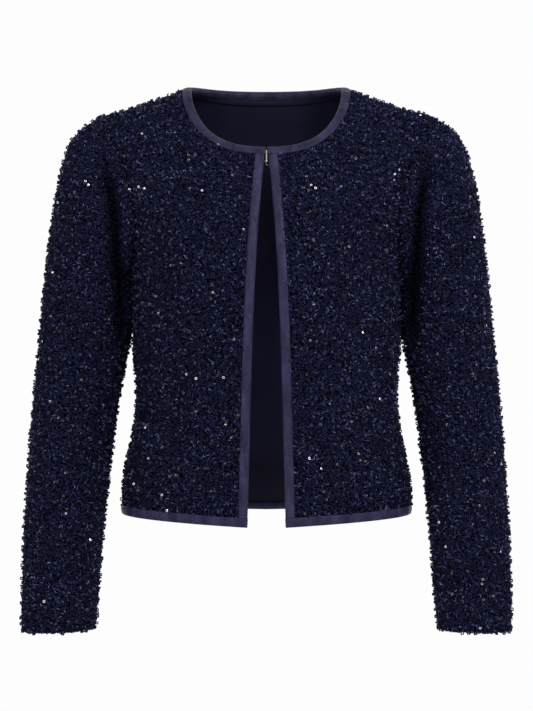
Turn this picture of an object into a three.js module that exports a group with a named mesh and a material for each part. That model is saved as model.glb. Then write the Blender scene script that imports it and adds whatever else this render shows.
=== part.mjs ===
// A short collarless cardigan jacket in boucle cloth, filled out as it is worn.
// Millimetres, +Z up. The front faces -Y and the wearer's left is +X. The origin is the middle
// of the neck opening, level with the neck ends of the shoulder seams.
import * as THREE from "three";

// Cloth, lining and satin walls, and the gaps between pieces.
const CLOTH = 2;
const LINING = 0.8;
const SATIN = 0.9;
const SEAM_GAP = 0.3;
const LINING_GAP = 0.5;
const OVER_CLEARANCE = 0.6; // a binding over the cloth it lies on
const OVER_NECK_CLEARANCE = 0.95;
const UNDER_CLEARANCE = 0.9; // a binding under the cloth, and round its edge

// Widths of the bindings.
const BAND_OUTSIDE = 8.8;
const BAND_INSIDE = 7.8;
const FRONT_OVERHANG = 0.8 * (UNDER_CLEARANCE + SATIN); // how far a binding passes the cloth's edge

// The neck, armhole and hem, as heights and half widths.
const NECK_HALF_WIDTH = 86;
const FRONT_NECK_Z = -75;
const BACK_NECK_Z = 2.3;
const BACK_NECK_FLATNESS = 12;
const SHOULDER_Z = -33;
const UNDERARM_Z = -205;
const HEM_FRONT_Z = -482;
const HEM_SIDE_Z = -474;
const HEM_BACK_Z = -477;
const BACK_CENTRE_UNDERARM_Z = -190;

// Counts of rows and columns in the walls.
const ROWS_BELOW_ARM = 13;
const ROWS_BY_ARM = 10;
const BACK_ROWS_TO_NECK = 4;
const COLUMNS = 11;
const SLEEVE_SIDES = 2 * ROWS_BY_ARM;
const SLEEVE_RINGS = 19;
const EDGE_STRIP = 12; // the first row or column in from a bound edge
const ROW_SAMPLES = 80;

// Horizontal rings of the body. Each half ring is a superellipse of the given squareness.
const BODY_RINGS = [
  { z: -500, halfWidth: 160.5, middleY: 0, frontDepth: 116, backDepth: 97, squareness: 2.35 },
  { z: -475, halfWidth: 160.5, middleY: 0, frontDepth: 114, backDepth: 96, squareness: 2.35 },
  { z: -450, halfWidth: 160, middleY: 0, frontDepth: 113, backDepth: 94, squareness: 2.35 },
  { z: -417, halfWidth: 155.5, middleY: 0, frontDepth: 112, backDepth: 91, squareness: 2.33 },
  { z: -383, halfWidth: 148, middleY: 0, frontDepth: 110, backDepth: 88, squareness: 2.3 },
  { z: -345, halfWidth: 144.5, middleY: 0, frontDepth: 110, backDepth: 86, squareness: 2.3 },
  { z: -290, halfWidth: 148, middleY: 0, frontDepth: 115, backDepth: 91, squareness: 2.25 },
  { z: -250, halfWidth: 149, middleY: 0, frontDepth: 120, backDepth: 96, squareness: 2.2 },
  { z: -205, halfWidth: 151, middleY: 0, frontDepth: 122, backDepth: 101, squareness: 2.2 },
  { z: -150, halfWidth: 172, middleY: 1, frontDepth: 116, backDepth: 102, squareness: 2.15 },
  { z: -110, halfWidth: 184, middleY: 2, frontDepth: 103, backDepth: 98, squareness: 2.1 },
  { z: -72, halfWidth: 190, middleY: 3, frontDepth: 83, backDepth: 88, squareness: 2.05 },
  { z: -50, halfWidth: 189.5, middleY: 4, frontDepth: 66, backDepth: 80, squareness: 2 },
  { z: -38, halfWidth: 188.8, middleY: 4, frontDepth: 57, backDepth: 75, squareness: 2 },
  { z: -33, halfWidth: 186, middleY: 4, frontDepth: 53, backDepth: 73, squareness: 2 },
  { z: -25, halfWidth: 156, middleY: 4.5, frontDepth: 48.5, backDepth: 69.5, squareness: 2 },
  { z: -16.5, halfWidth: 131, middleY: 5, frontDepth: 44, backDepth: 66, squareness: 2 },
  { z: 0, halfWidth: 86, middleY: 5, frontDepth: 36, backDepth: 61, squareness: 2 },
  { z: 5, halfWidth: 71, middleY: 5, frontDepth: 34, backDepth: 60, squareness: 2 },
];

// Half width of the neck edge on the front, by height.
const FRONT_NECK = [
  { z: -75, x: 0 },
  { z: -74.4, x: 16 },
  { z: -70.8, x: 36 },
  { z: -62.3, x: 54 },
  { z: -49.5, x: 68 },
  { z: -31, x: 79 },
  { z: -14.5, x: 84 },
  { z: 0, x: 86 },
];

// Half width of the armhole seam on the front and the back, by height.
const ARMHOLE = [
  { z: -205, frontX: 151, backX: 151 },
  { z: -185, frontX: 146, backX: 149 },
  { z: -160, frontX: 145, backX: 151 },
  { z: -130, frontX: 149, backX: 156 },
  { z: -100, frontX: 156, backX: 162 },
  { z: -70, frontX: 166, backX: 170 },
  { z: -46, frontX: 177, backX: 179 },
  { z: -33, frontX: 186, backX: 186 },
];

// Half the gap between the two finished front edges, by height.
const FRONT_GAP = [
  { z: -490, half: 20.8 },
  { z: -440, half: 19.3 },
  { z: -294, half: 15.4 },
  { z: -222, half: 12.4 },
  { z: -187, half: 10.6 },
  { z: -130, half: 6.4 },
  { z: -100, half: 3.7 },
  { z: -84, half: 1.9 },
  { z: -75, half: 0.9 },
];

// Rings of the left sleeve. Each runs from an outer to an inner point of the arm, with its middle
// at middleY and a half depth to the front and back. The first lies on the armhole.
const SLEEVE_TABLE = [
  { outerX: 185, outerZ: -33, innerX: 151, innerZ: -205, middleY: 2, halfDepth: 61 },
  { outerX: 206, outerZ: -47, innerX: 152.5, innerZ: -212, middleY: -4, halfDepth: 61 },
  { outerX: 220, outerZ: -66, innerX: 154, innerZ: -220, middleY: -5, halfDepth: 60 },
  { outerX: 228, outerZ: -92, innerX: 154.5, innerZ: -230, middleY: -4, halfDepth: 59 },
  { outerX: 236, outerZ: -130, innerX: 154, innerZ: -245, middleY: -3, halfDepth: 58 },
  { outerX: 243, outerZ: -180, innerX: 153.5, innerZ: -267, middleY: -1, halfDepth: 57 },
  { outerX: 249, outerZ: -235, innerX: 156.5, innerZ: -297, middleY: 1, halfDepth: 56 },
  { outerX: 255, outerZ: -295, innerX: 163, innerZ: -331, middleY: 2, halfDepth: 53 },
  { outerX: 260, outerZ: -350, innerX: 168, innerZ: -365, middleY: 0, halfDepth: 50 },
  { outerX: 263.8, outerZ: -400, innerX: 172.6, innerZ: -405, middleY: -6, halfDepth: 48.5 },
  { outerX: 266.3, outerZ: -454, innerX: 177.9, innerZ: -454, middleY: -15, halfDepth: 46.5 },
  { outerX: 268.6, outerZ: -508, innerX: 182.5, innerZ: -506, middleY: -26, halfDepth: 44 },
  { outerX: 268.9, outerZ: -556, innerX: 185.2, innerZ: -554, middleY: -36, halfDepth: 41.5 },
  { outerX: 268.4, outerZ: -600, innerX: 188.4, innerZ: -598, middleY: -45, halfDepth: 39.5 },
];
const ARMHOLE_FADE_ROWS = 3.4; // rows of the table over which the armhole's own shape fades out

// Soft folds of the body: a trough has a negative depth. The angle is from level, in degrees.
const BODY_FOLDS = [
  { face: "front", x: 128, z: -178, angle: 62, length: 60, width: 17, depth: -3 },
  { face: "front", x: 112, z: -250, angle: 40, length: 46, width: 19, depth: -2.2 },
  { face: "front", x: 88, z: -402, angle: 58, length: 52, width: 20, depth: -2.6 },
  { face: "front", x: 116, z: -424, angle: 66, length: 44, width: 18, depth: 2.2 },
  { face: "back", x: 118, z: -170, angle: 70, length: 62, width: 18, depth: -3 },
  { face: "back", x: 84, z: -330, angle: 24, length: 56, width: 19, depth: -2.6 },
  { face: "back", x: 60, z: -366, angle: 12, length: 60, width: 17, depth: 2 },
  { face: "back", x: 70, z: -440, angle: 84, length: 48, width: 22, depth: 3 },
];

// Soft folds of the sleeve, by the length down it and the angle round it from the outer side.
const SLEEVE_FOLDS = [
  { down: 78, round: 118, slope: -0.35, width: 17, span: 42, depth: -3.2 },
  { down: 215, round: 130, slope: 0.3, width: 16, span: 48, depth: -2.6 },
  { down: 262, round: 235, slope: -0.25, width: 15, span: 44, depth: -2.8 },
  { down: 305, round: 140, slope: 0.35, width: 16, span: 44, depth: -2.4 },
  { down: 120, round: 250, slope: 0.4, width: 19, span: 44, depth: -2.8 },
  { down: 440, round: 60, slope: 0.25, width: 20, span: 46, depth: -2 },
];

// The hook and eye.
const WIRE_RADIUS = 0.5;
const EYE_HALF_HEIGHT = 4.2;
const EYE_REACH = 9;
const EYE_X = -0.4;
const EYE_DEPTH = 3.4;
const HOOK_Z = -89.8;

const BOUCLE_LOOK = { color: 0x151833, roughness: 0.95, metalness: 0 };
const SATIN_LOOK = { color: 0x3c3b60, roughness: 0.45, metalness: 0 };
const LINING_LOOK = { color: 0x0f0f24, roughness: 0.6, metalness: 0 };
const METAL_LOOK = { color: 0xb08a4a, roughness: 0.35, metalness: 1 };

const FRONT = -1;
const BACK = 1;

// Smooth values of every column of a table at a given value of its key column, without
// overshoot: a monotone cubic through the rows.
function smoothRow(table, key, at) {
  const last = table.length - 1;
  const x = table.map((row) => row[key]);
  const here = Math.min(Math.max(at, x[0]), x[last]);
  let k = 0;
  while (k < last - 1 && here > x[k + 1]) k += 1;
  const span = x[k + 1] - x[k];
  const t = (here - x[k]) / span;
  const out = {};
  for (const name of Object.keys(table[0])) {
    if (typeof table[0][name] !== "number") continue;
    const slope = (i) => (table[i + 1][name] - table[i][name]) / (x[i + 1] - x[i]);
    const tangent = (i) => {
      if (i === 0) return slope(0);
      if (i === last) return slope(last - 1);
      const before = slope(i - 1);
      const after = slope(i);
      return before * after <= 0 ? 0 : (2 * before * after) / (before + after);
    };
    const a = table[k][name];
    const b = table[k + 1][name];
    const h1 = t * t * (3 - 2 * t);
    const bend = tangent(k) * t * (1 - t) ** 2 - tangent(k + 1) * t * t * (1 - t);
    out[name] = a + (b - a) * h1 + span * bend;
  }
  return out;
}

const smoothstep = (t) => {
  const c = Math.min(Math.max(t, 0), 1);
  return c * c * (3 - 2 * c);
};
const mix = (a, b, t) => a + (b - a) * t;

// The body's surface.
function bodyLevel(p) {
  const ring = smoothRow(BODY_RINGS, "z", p.z);
  const depth = p.y < ring.middleY ? ring.frontDepth : ring.backDepth;
  const e = ring.squareness;
  return (Math.abs(p.x) / ring.halfWidth) ** e + (Math.abs(p.y - ring.middleY) / depth) ** e;
}

function bodyNormal(p) {
  const step = 0.05;
  const n = new THREE.Vector3();
  for (const axis of ["x", "y", "z"]) {
    const ahead = p.clone();
    const behind = p.clone();
    ahead[axis] += step;
    behind[axis] -= step;
    n[axis] = bodyLevel(ahead) - bodyLevel(behind);
  }
  return n.normalize();
}

function bodyPoint(face, x, z) {
  const ring = smoothRow(BODY_RINGS, "z", z);
  const depth = face === FRONT ? ring.frontDepth : ring.backDepth;
  const u = Math.min(1, Math.abs(x) / ring.halfWidth);
  const rise = (1 - u ** ring.squareness) ** (1 / ring.squareness);
  return new THREE.Vector3(x, ring.middleY + face * depth * rise, z);
}

// The nearest point of the body's surface, along its own normal.
function ontoBody(p) {
  const q = p.clone();
  for (let i = 0; i < 6; i += 1) {
    const n = bodyNormal(q);
    const step = 0.5;
    const here = bodyLevel(q) - 1;
    const slope = (bodyLevel(q.clone().addScaledVector(n, step)) - 1 - here) / step;
    q.addScaledVector(n, -here / slope);
  }
  return q;
}

const HEM_HALF_WIDTH = smoothRow(BODY_RINGS, "z", HEM_SIDE_Z).halfWidth;
const frontGap = (z) => smoothRow(FRONT_GAP, "z", z).half;
const clothEdge = (z) => frontGap(z) + FRONT_OVERHANG;
const hemZ = (face, x) => {
  const [fromX, fromZ] =
    face === FRONT ? [clothEdge(HEM_FRONT_Z), HEM_FRONT_Z] : [0, HEM_BACK_Z];
  return mix(fromZ, HEM_SIDE_Z, (Math.abs(x) - fromX) / (HEM_HALF_WIDTH - fromX));
};
const backNeckZ = (x) => BACK_NECK_Z * (1 - (Math.abs(x) / NECK_HALF_WIDTH) ** BACK_NECK_FLATNESS);

// Height of the armhole station: 0 is the underarm, ROWS_BY_ARM is the shoulder.
function armholeStation(face, index) {
  const angle = (Math.PI * index) / ROWS_BY_ARM;
  const z = mix(UNDERARM_Z, SHOULDER_Z, (1 - Math.cos(angle)) / 2);
  const row = smoothRow(ARMHOLE, "z", z);
  return { x: face === FRONT ? row.frontX : row.backX, z };
}

// Points along a plane curve in equal steps of its own length.
function evenSteps(curve, count) {
  const points = [];
  for (let i = 0; i <= ROW_SAMPLES; i += 1) points.push(curve(i / ROW_SAMPLES));
  return evenPoints(points, fractions(count));
}

const fractions = (count) => Array.from({ length: count + 1 }, (_, i) => i / count);

function evenPoints(points, at) {
  const run = [0];
  for (let i = 1; i < points.length; i += 1)
    run.push(run[i - 1] + points[i].distanceTo(points[i - 1]));
  const total = run[run.length - 1];
  return at.map((f) => {
    const want = f * total;
    let k = 0;
    while (k < points.length - 2 && run[k + 1] < want) k += 1;
    const t = (want - run[k]) / (run[k + 1] - run[k]);
    return points[k].clone().lerp(points[k + 1], t);
  });
}

// A row from one edge of a face to the other: straight in the face's plan, then laid on the body.
// The last row is the shoulder seam, which follows the body's ridge.
function bodyRow(face, from, to, onRidge) {
  const points = [];
  for (let i = 0; i <= ROW_SAMPLES; i += 1) {
    const t = Math.sin((Math.PI / 2) * (i / ROW_SAMPLES));
    const z = mix(from.z, to.z, t);
    const x = onRidge ? smoothRow(BODY_RINGS, "z", z).halfWidth : mix(from.x, to.x, t);
    points.push(bodyPoint(face, x, z));
  }
  return points;
}

const lengthOf = (points) =>
  points.slice(1).reduce((sum, p, i) => sum + p.distanceTo(points[i]), 0);

function columnFractions(points, strip) {
  if (!strip) return fractions(COLUMNS);
  const first = strip / lengthOf(points);
  const rest = fractions(COLUMNS - 1).map((f) => mix(first, 1, f));
  return [0, ...rest];
}

// Fractions of the way up from the hem to the underarm, the first strip as wide as a binding's.
function rowsBelowArm() {
  const first = EDGE_STRIP / (UNDERARM_Z - HEM_SIDE_Z);
  return [0, ...fractions(ROWS_BELOW_ARM - 1).map((f) => mix(first, 1, f))];
}

function sideEdge(face) {
  const low = rowsBelowArm().map((f) => {
    const z = mix(HEM_SIDE_Z, UNDERARM_Z, f);
    return { x: smoothRow(BODY_RINGS, "z", z).halfWidth, z };
  });
  const high = fractions(ROWS_BY_ARM)
    .slice(1)
    .map((_, i) => armholeStation(face, i + 1));
  return [...low, ...high];
}

// Points up the front of the neck, evenly spaced, from a place near the middle to the shoulder.
function frontNeckPoints(startX, count) {
  return evenSteps((t) => {
    const z = mix(FRONT_NECK_Z, 0, t * t);
    return bodyPoint(FRONT, Math.max(startX, smoothRow(FRONT_NECK, "z", z).x), z);
  }, count);
}

// The front edge up to the neck corner, then the neck up to the shoulder.
function frontEdge() {
  const low = rowsBelowArm().map((f) => {
    const z = mix(HEM_FRONT_Z, FRONT_NECK_Z, f);
    return { x: clothEdge(z), z };
  });
  const neck = frontNeckPoints(clothEdge(FRONT_NECK_Z), ROWS_BY_ARM);
  return [...low, ...neck.slice(1).map((p) => ({ x: p.x, z: p.z }))];
}

// The middle of the back up to the neck, then the neck out to the shoulder.
function backEdge() {
  const low = rowsBelowArm().map((f) => ({ x: 0, z: mix(HEM_BACK_Z, BACK_CENTRE_UNDERARM_Z, f) }));
  const strip = EDGE_STRIP / (BACK_NECK_Z - BACK_CENTRE_UNDERARM_Z);
  const middle = [...fractions(BACK_ROWS_TO_NECK - 1).slice(1).map((f) => f * (1 - strip)), 1].map(
    (f) => ({ x: 0, z: mix(BACK_CENTRE_UNDERARM_Z, BACK_NECK_Z, f) }),
  );
  const neck = evenSteps((t) => {
    const x = NECK_HALF_WIDTH * Math.sin((Math.PI / 2) * t);
    return bodyPoint(BACK, x, backNeckZ(x));
  }, ROWS_BY_ARM - BACK_ROWS_TO_NECK);
  return [...low, ...middle, ...neck.slice(1).map((p) => ({ x: p.x, z: p.z }))];
}

// How far a fold moves the cloth at a place, faded out towards the given clearance from edges.
function bodyFold(face, p, fade) {
  const name = face === FRONT ? "front" : "back";
  let sum = 0;
  for (const fold of BODY_FOLDS) {
    if (fold.face !== name) continue;
    const turn = THREE.MathUtils.degToRad(fold.angle);
    const dx = p.x - fold.x;
    const dz = p.z - fold.z;
    const along = dx * Math.cos(turn) + dz * Math.sin(turn);
    const across = dz * Math.cos(turn) - dx * Math.sin(turn);
    sum += fold.depth * Math.exp(-((along / fold.length) ** 2) - (across / fold.width) ** 2);
  }
  return sum * fade;
}

// The rings of the left sleeve, as outer points. The first is the armhole seam.
function sleeveRingPoint(v, index) {
  const turn = (2 * Math.PI * index) / SLEEVE_SIDES;
  const table = SLEEVE_TABLE.map((row, i) => ({ i, ...row }));
  const at = (value) => {
    const r = smoothRow(table, "i", value);
    const t = (1 - Math.cos(turn)) / 2;
    return new THREE.Vector3(
      mix(r.outerX, r.innerX, t),
      r.middleY - r.halfDepth * Math.sin(turn),
      mix(r.outerZ, r.innerZ, t),
    );
  };
  const fade = 1 - smoothstep(v / ARMHOLE_FADE_ROWS);
  return at(v).addScaledVector(armholePoint(index).sub(at(0)), fade);
}

function armholePoint(index) {
  const turned = ((index % SLEEVE_SIDES) + SLEEVE_SIDES) % SLEEVE_SIDES;
  const face = turned <= ROWS_BY_ARM ? FRONT : BACK;
  const station = face === FRONT ? ROWS_BY_ARM - turned : turned - ROWS_BY_ARM;
  const plan = armholeStation(face, station);
  const atEnd = station === 0 || station === ROWS_BY_ARM;
  const p = bodyPoint(face, plan.x, plan.z);
  if (atEnd) p.y = smoothRow(BODY_RINGS, "z", plan.z).middleY;
  return p;
}

const sleeveValue = (ring) => {
  const t = ring / SLEEVE_RINGS;
  return (SLEEVE_TABLE.length - 1) * t;
};

// The armhole seam's shared edge: its points, the direction through the cloth there, and the
// direction from the body to the sleeve.
const ARMHOLE_SEAM = Array.from({ length: SLEEVE_SIDES }, (_, i) => {
  const p = armholePoint(i);
  const along = armholePoint(i + 1).sub(armholePoint(i - 1)).normalize();
  const bodyOut = bodyNormal(p);
  const intoBody = new THREE.Vector3().crossVectors(along, bodyOut).normalize();
  const intoSleeve = sleeveRingPoint(sleeveValue(1), i).sub(p).projectOnPlane(along).normalize();
  const aside = intoSleeve.sub(intoBody).normalize();
  const through = new THREE.Vector3().crossVectors(along, aside).normalize();
  const stretch = 1 / Math.max(0.65, through.dot(bodyOut));
  return { p, through, aside, stretch };
});

// A grid of outer points with their directions through the cloth.
function panelGrid(face) {
  const left = face === FRONT ? frontEdge() : backEdge();
  const right = sideEdge(face);
  const lastRow = left.length - 1;
  return left.map((from, j) => {
    const line = bodyRow(face, from, right[j], j === lastRow);
    const bound = face === FRONT || j > ROWS_BELOW_ARM + BACK_ROWS_TO_NECK;
    const strip = bound ? EDGE_STRIP * (j > ROWS_BELOW_ARM ? 1.2 : 1) : 0;
    const points = evenPoints(line, columnFractions(line, strip));
    return points.map((p, i) => {
      const through = bodyNormal(p);
      const inner = Math.min((j - 1) / 2, (lastRow - j) / 2, (COLUMNS - i) / 2, 1);
      const fromLeft = face === FRONT ? (i - 1) / 2 : 1;
      p.addScaledVector(through, bodyFold(face, p, smoothstep(inner) * smoothstep(fromLeft)));
      let stretch = 1;
      const onSide = i === COLUMNS;
      const turned = face === FRONT ? lastRow - j : SLEEVE_SIDES - (lastRow - j);
      const seam = ARMHOLE_SEAM[turned % SLEEVE_SIDES];
      if (onSide && j >= ROWS_BELOW_ARM) {
        p.copy(seam.p).addScaledVector(seam.aside, -SEAM_GAP / 2);
        through.copy(seam.through);
        stretch = seam.stretch;
      }
      if ((onSide && j <= ROWS_BELOW_ARM) || j === lastRow) p.y += (face * SEAM_GAP) / 2;
      return { p, through, stretch };
    });
  });
}

// Triangles gathered for one solid.
class Faces {
  constructor() {
    this.points = [];
  }

  triangle(a, b, c) {
    this.points.push(a, b, c);
  }

  quad(a, b, c, d) {
    this.triangle(a, b, c);
    this.triangle(a, c, d);
  }

  geometry(mirrored = false) {
    const data = [];
    for (let i = 0; i < this.points.length; i += 3) {
      const [a, b, c] = this.points.slice(i, i + 3);
      for (const p of mirrored ? [a, c, b] : [a, b, c]) data.push(mirrored ? -p.x : p.x, p.y, p.z);
    }
    const made = new THREE.BufferGeometry();
    made.setAttribute("position", new THREE.Float32BufferAttribute(data, 3));
    made.computeVertexNormals();
    return made;
  }
}

// A wall from two grids of points, the outer and the inner, with its four edges closed.
// openRows leaves that many strips of the first column's edge open, where a mirrored half joins.
function wall(outer, inner, { turned = false, openRows = 0, faces = new Faces() } = {}) {
  const rows = outer.length - 1;
  const columns = outer[0].length - 1;
  const quad = (a, b, c, d) => (turned ? faces.quad(a, d, c, b) : faces.quad(a, b, c, d));
  for (let j = 0; j < rows; j += 1)
    for (let i = 0; i < columns; i += 1) {
      quad(outer[j][i], outer[j][i + 1], outer[j + 1][i + 1], outer[j + 1][i]);
      quad(inner[j][i], inner[j + 1][i], inner[j + 1][i + 1], inner[j][i + 1]);
    }
  for (let i = 0; i < columns; i += 1) {
    quad(outer[0][i], inner[0][i], inner[0][i + 1], outer[0][i + 1]);
    quad(outer[rows][i + 1], inner[rows][i + 1], inner[rows][i], outer[rows][i]);
  }
  for (let j = 0; j < rows; j += 1) {
    if (j >= openRows) quad(outer[j + 1][0], inner[j + 1][0], inner[j][0], outer[j][0]);
    quad(outer[j][columns], inner[j][columns], inner[j + 1][columns], outer[j + 1][columns]);
  }
  return faces;
}

const gridPoints = (grid, depth) =>
  grid.map((row) =>
    row.map((v) => v.p.clone().addScaledVector(v.through, -depth * (depth > 0 ? v.stretch : 1))),
  );

// Both halves of a back piece in one solid.
function mirroredFaces(half) {
  const faces = new Faces();
  for (let i = 0; i < half.points.length; i += 3) {
    const [a, b, c] = half.points.slice(i, i + 3);
    faces.triangle(a, b, c);
    const flip = (p) => new THREE.Vector3(-p.x, p.y, p.z);
    faces.triangle(flip(a), flip(c), flip(b));
  }
  return faces;
}

const FRONT_GRID = panelGrid(FRONT);
const BACK_GRID = panelGrid(BACK);
const NECK_ROW = ROWS_BELOW_ARM + BACK_ROWS_TO_NECK;

function frontFaces() {
  return wall(gridPoints(FRONT_GRID, 0), gridPoints(FRONT_GRID, CLOTH));
}

function backFaces() {
  const options = { turned: true, openRows: NECK_ROW };
  return mirroredFaces(wall(gridPoints(BACK_GRID, 0), gridPoints(BACK_GRID, CLOTH), options));
}

// The lining lies just inside the back, a little short of its edges.
const LINING_INSET = 3;
const LINING_SIDE_INSET = 7;
function liningFaces() {
  const last = BACK_GRID.length - 1;
  const pull = (v, next, amount) => {
    const t = Math.min(0.8, amount / v.p.distanceTo(next.p));
    return {
      p: v.p.clone().lerp(next.p, t),
      through: v.through.clone().lerp(next.through, t).normalize(),
      stretch: mix(v.stretch, next.stretch, t),
    };
  };
  let grid = BACK_GRID.map((row, j) =>
    row.map((v, i) => {
      if (i === COLUMNS) return pull(v, row[i - 1], LINING_SIDE_INSET);
      if (i === 0 && j >= NECK_ROW) return j === NECK_ROW ? v : pull(v, row[1], LINING_INSET);
      return v;
    }),
  );
  grid = grid.map((row, j) =>
    row.map((v, i) => {
      if (j === 0) return pull(v, grid[1][i], LINING_INSET);
      if (j === last) return pull(v, grid[last - 1][i], LINING_SIDE_INSET);
      if (i === 0 && j === NECK_ROW) return pull(v, grid[j - 1][0], LINING_INSET);
      return v;
    }),
  );
  const near = CLOTH + LINING_GAP;
  const options = { turned: true, openRows: NECK_ROW };
  const half = wall(gridPoints(grid, near), gridPoints(grid, near + LINING), options);
  return mirroredFaces(half);
}

// The sleeve, with its soft folds.
function sleeveFaces() {
  const rings = Array.from({ length: SLEEVE_RINGS + 1 }, (_, k) =>
    Array.from({ length: SLEEVE_SIDES }, (_, i) => sleeveRingPoint(sleeveValue(k), i)),
  );
  const sides = SLEEVE_SIDES;
  const wrap = (i) => ((i % sides) + sides) % sides;
  const normalAt = (k, i) => {
    const down = rings[Math.min(k + 1, SLEEVE_RINGS)][i].clone();
    down.sub(rings[Math.max(k - 1, 0)][i]);
    const round = rings[k][wrap(i + 1)].clone().sub(rings[k][wrap(i - 1)]);
    return new THREE.Vector3().crossVectors(round, down).normalize();
  };
  const fold = (down, i) => {
    const round = (360 * i) / sides;
    return SLEEVE_FOLDS.reduce((sum, f) => {
      const offset = round - f.round;
      const across = down - f.down - f.slope * offset;
      return sum + f.depth * Math.exp(-((across / f.width) ** 2) - (offset / f.span) ** 2);
    }, 0);
  };
  const grid = rings.map((ring, k) => {
    const middle = (r) => r.reduce((s, p) => s.add(p), new THREE.Vector3()).divideScalar(sides);
    const down = rings
      .slice(0, k)
      .reduce((sum, r, n) => sum + middle(r).distanceTo(middle(rings[n + 1])), 0);
    const fade = smoothstep(k / 4) * smoothstep((SLEEVE_RINGS - k) / 3);
    return ring.map((point, i) => {
      const through = normalAt(k, i);
      if (k > 0) {
        const p = point.clone().addScaledVector(through, fold(down, i) * fade);
        return { p, through, stretch: 1 };
      }
      const seam = ARMHOLE_SEAM[i];
      const p = seam.p.clone().addScaledVector(seam.aside, SEAM_GAP / 2);
      return { p, through: seam.through, stretch: seam.stretch };
    });
  });
  const closed = grid.map((row) => [...row, row[0]]);
  return tube(gridPoints(closed, 0), gridPoints(closed, CLOTH));
}

// A wall that closes on itself round its columns, so only its two ends have edges.
function tube(outer, inner) {
  const faces = new Faces();
  const rows = outer.length - 1;
  const columns = outer[0].length - 1;
  for (let i = 0; i < columns; i += 1) {
    for (let j = 0; j < rows; j += 1) {
      faces.quad(outer[j][i], outer[j][i + 1], outer[j + 1][i + 1], outer[j + 1][i]);
      faces.quad(inner[j][i], inner[j + 1][i], inner[j + 1][i + 1], inner[j][i + 1]);
    }
    faces.quad(outer[0][i], inner[0][i], inner[0][i + 1], outer[0][i + 1]);
    faces.quad(outer[rows][i], outer[rows][i + 1], inner[rows][i + 1], inner[rows][i]);
  }
  return faces;
}

// A binding folded over an edge of the body. The stations are points of the edge in order, with
// the direction away from the edge into the cloth; depth is how deep the inner leg lies.
function bindingFaces(stations, clearance) {
  const top = clearance + SATIN;
  const sections = stations.map(({ p, into, depth }) => {
    const at = (distance, height) => {
      const q = distance > 0 ? ontoBody(p.clone().addScaledVector(into, distance)) : p.clone();
      if (distance < 0) q.addScaledVector(into, distance);
      return q.addScaledVector(bodyNormal(q), height);
    };
    return [
      at(BAND_OUTSIDE, top),
      at(0, top),
      at(-FRONT_OVERHANG, top * 0.3),
      at(-FRONT_OVERHANG, -depth * 0.75),
      at(0, -depth - SATIN),
      at(BAND_INSIDE, -depth - SATIN),
      at(BAND_INSIDE, -depth),
      at(0, -depth),
      at(-UNDER_CLEARANCE, -depth * 0.8),
      at(-UNDER_CLEARANCE, clearance * 0.5),
      at(0, clearance),
      at(BAND_OUTSIDE, clearance),
    ];
  });
  return ribbon(sections);
}

// A solid through equal sections, with both ends capped. A section's first half runs along its
// outside, and its second half comes back along its inside.
function ribbon(sections) {
  const faces = new Faces();
  const count = sections[0].length;
  for (let k = 0; k < sections.length - 1; k += 1) {
    const here = sections[k];
    const next = sections[k + 1];
    for (let i = 0; i < count; i += 1) {
      const j = (i + 1) % count;
      faces.quad(here[i], next[i], next[j], here[j]);
    }
  }
  const cap = (s, turned) => {
    for (let i = 0; i < count / 2 - 1; i += 1) {
      const [a, b, c, d] = [s[i], s[i + 1], s[count - 2 - i], s[count - 1 - i]];
      if (turned) faces.quad(d, c, b, a);
      else faces.quad(a, b, c, d);
    }
  };
  cap(sections[0], false);
  cap(sections[sections.length - 1], true);
  return faces;
}

// Stations along an edge from its points, which run with the cloth on their right, seen from
// outside. Each has the direction into the cloth.
function stationsOf(points, depthAt) {
  const last = points.length - 1;
  return points.map((p, i) => {
    const along = points[Math.min(i + 1, last)].clone().sub(points[Math.max(i - 1, 0)]);
    const into = new THREE.Vector3().crossVectors(along, bodyNormal(p)).normalize();
    return { p, into, depth: depthAt(p) };
  });
}

// The inner leg lies deeper where the lining is between it and the cloth.
const LINED_DEPTH = CLOTH + LINING_GAP + LINING + UNDER_CLEARANCE;
const PLAIN_DEPTH = CLOTH + UNDER_CLEARANCE;
const legDepth = (p) => mix(PLAIN_DEPTH, LINED_DEPTH, smoothstep((p.y + 25) / 25));

const NECK_STEPS = 14;
const BACK_NECK_STEPS = 20;
const HEM_STEPS = 15;
const BACK_HEM_STEPS = 30;
const BAND_STEPS = 22;

// The neck from the left front edge, round the back, to the right front edge.
function neckPoints() {
  const front = frontNeckPoints(frontGap(FRONT_NECK_Z), NECK_STEPS);
  const back = evenSteps((t) => {
    const x = NECK_HALF_WIDTH * Math.cos(Math.PI * t);
    return bodyPoint(BACK, x, backNeckZ(x));
  }, BACK_NECK_STEPS);
  const flip = (p) => new THREE.Vector3(-p.x, p.y, p.z);
  return [...front.slice(0, -1), ...back, ...front.slice(0, -1).reverse().map(flip)];
}

// The hem from the right front edge, round the back, to the left front edge.
function hemPoints() {
  const front = evenSteps((t) => {
    const x = mix(frontGap(HEM_FRONT_Z), HEM_HALF_WIDTH, Math.sin((Math.PI / 2) * t));
    return bodyPoint(FRONT, x, hemZ(FRONT, x));
  }, HEM_STEPS);
  const back = evenSteps((t) => {
    const x = HEM_HALF_WIDTH * Math.cos(Math.PI * t);
    return bodyPoint(BACK, x, hemZ(BACK, x));
  }, BACK_HEM_STEPS);
  const flip = (p) => new THREE.Vector3(-p.x, p.y, p.z);
  return [...front.slice(0, -1), ...back, ...front.slice(0, -1).reverse().map(flip)].reverse();
}

// The left front edge, from the hem's binding up to the neck's.
function frontBandPoints() {
  const low = HEM_FRONT_Z + BAND_OUTSIDE + SEAM_GAP;
  const high = FRONT_NECK_Z - BAND_OUTSIDE - SEAM_GAP;
  return evenSteps((t) => {
    const z = mix(low, high, t);
    return bodyPoint(FRONT, clothEdge(z), z);
  }, BAND_STEPS);
}

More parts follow.
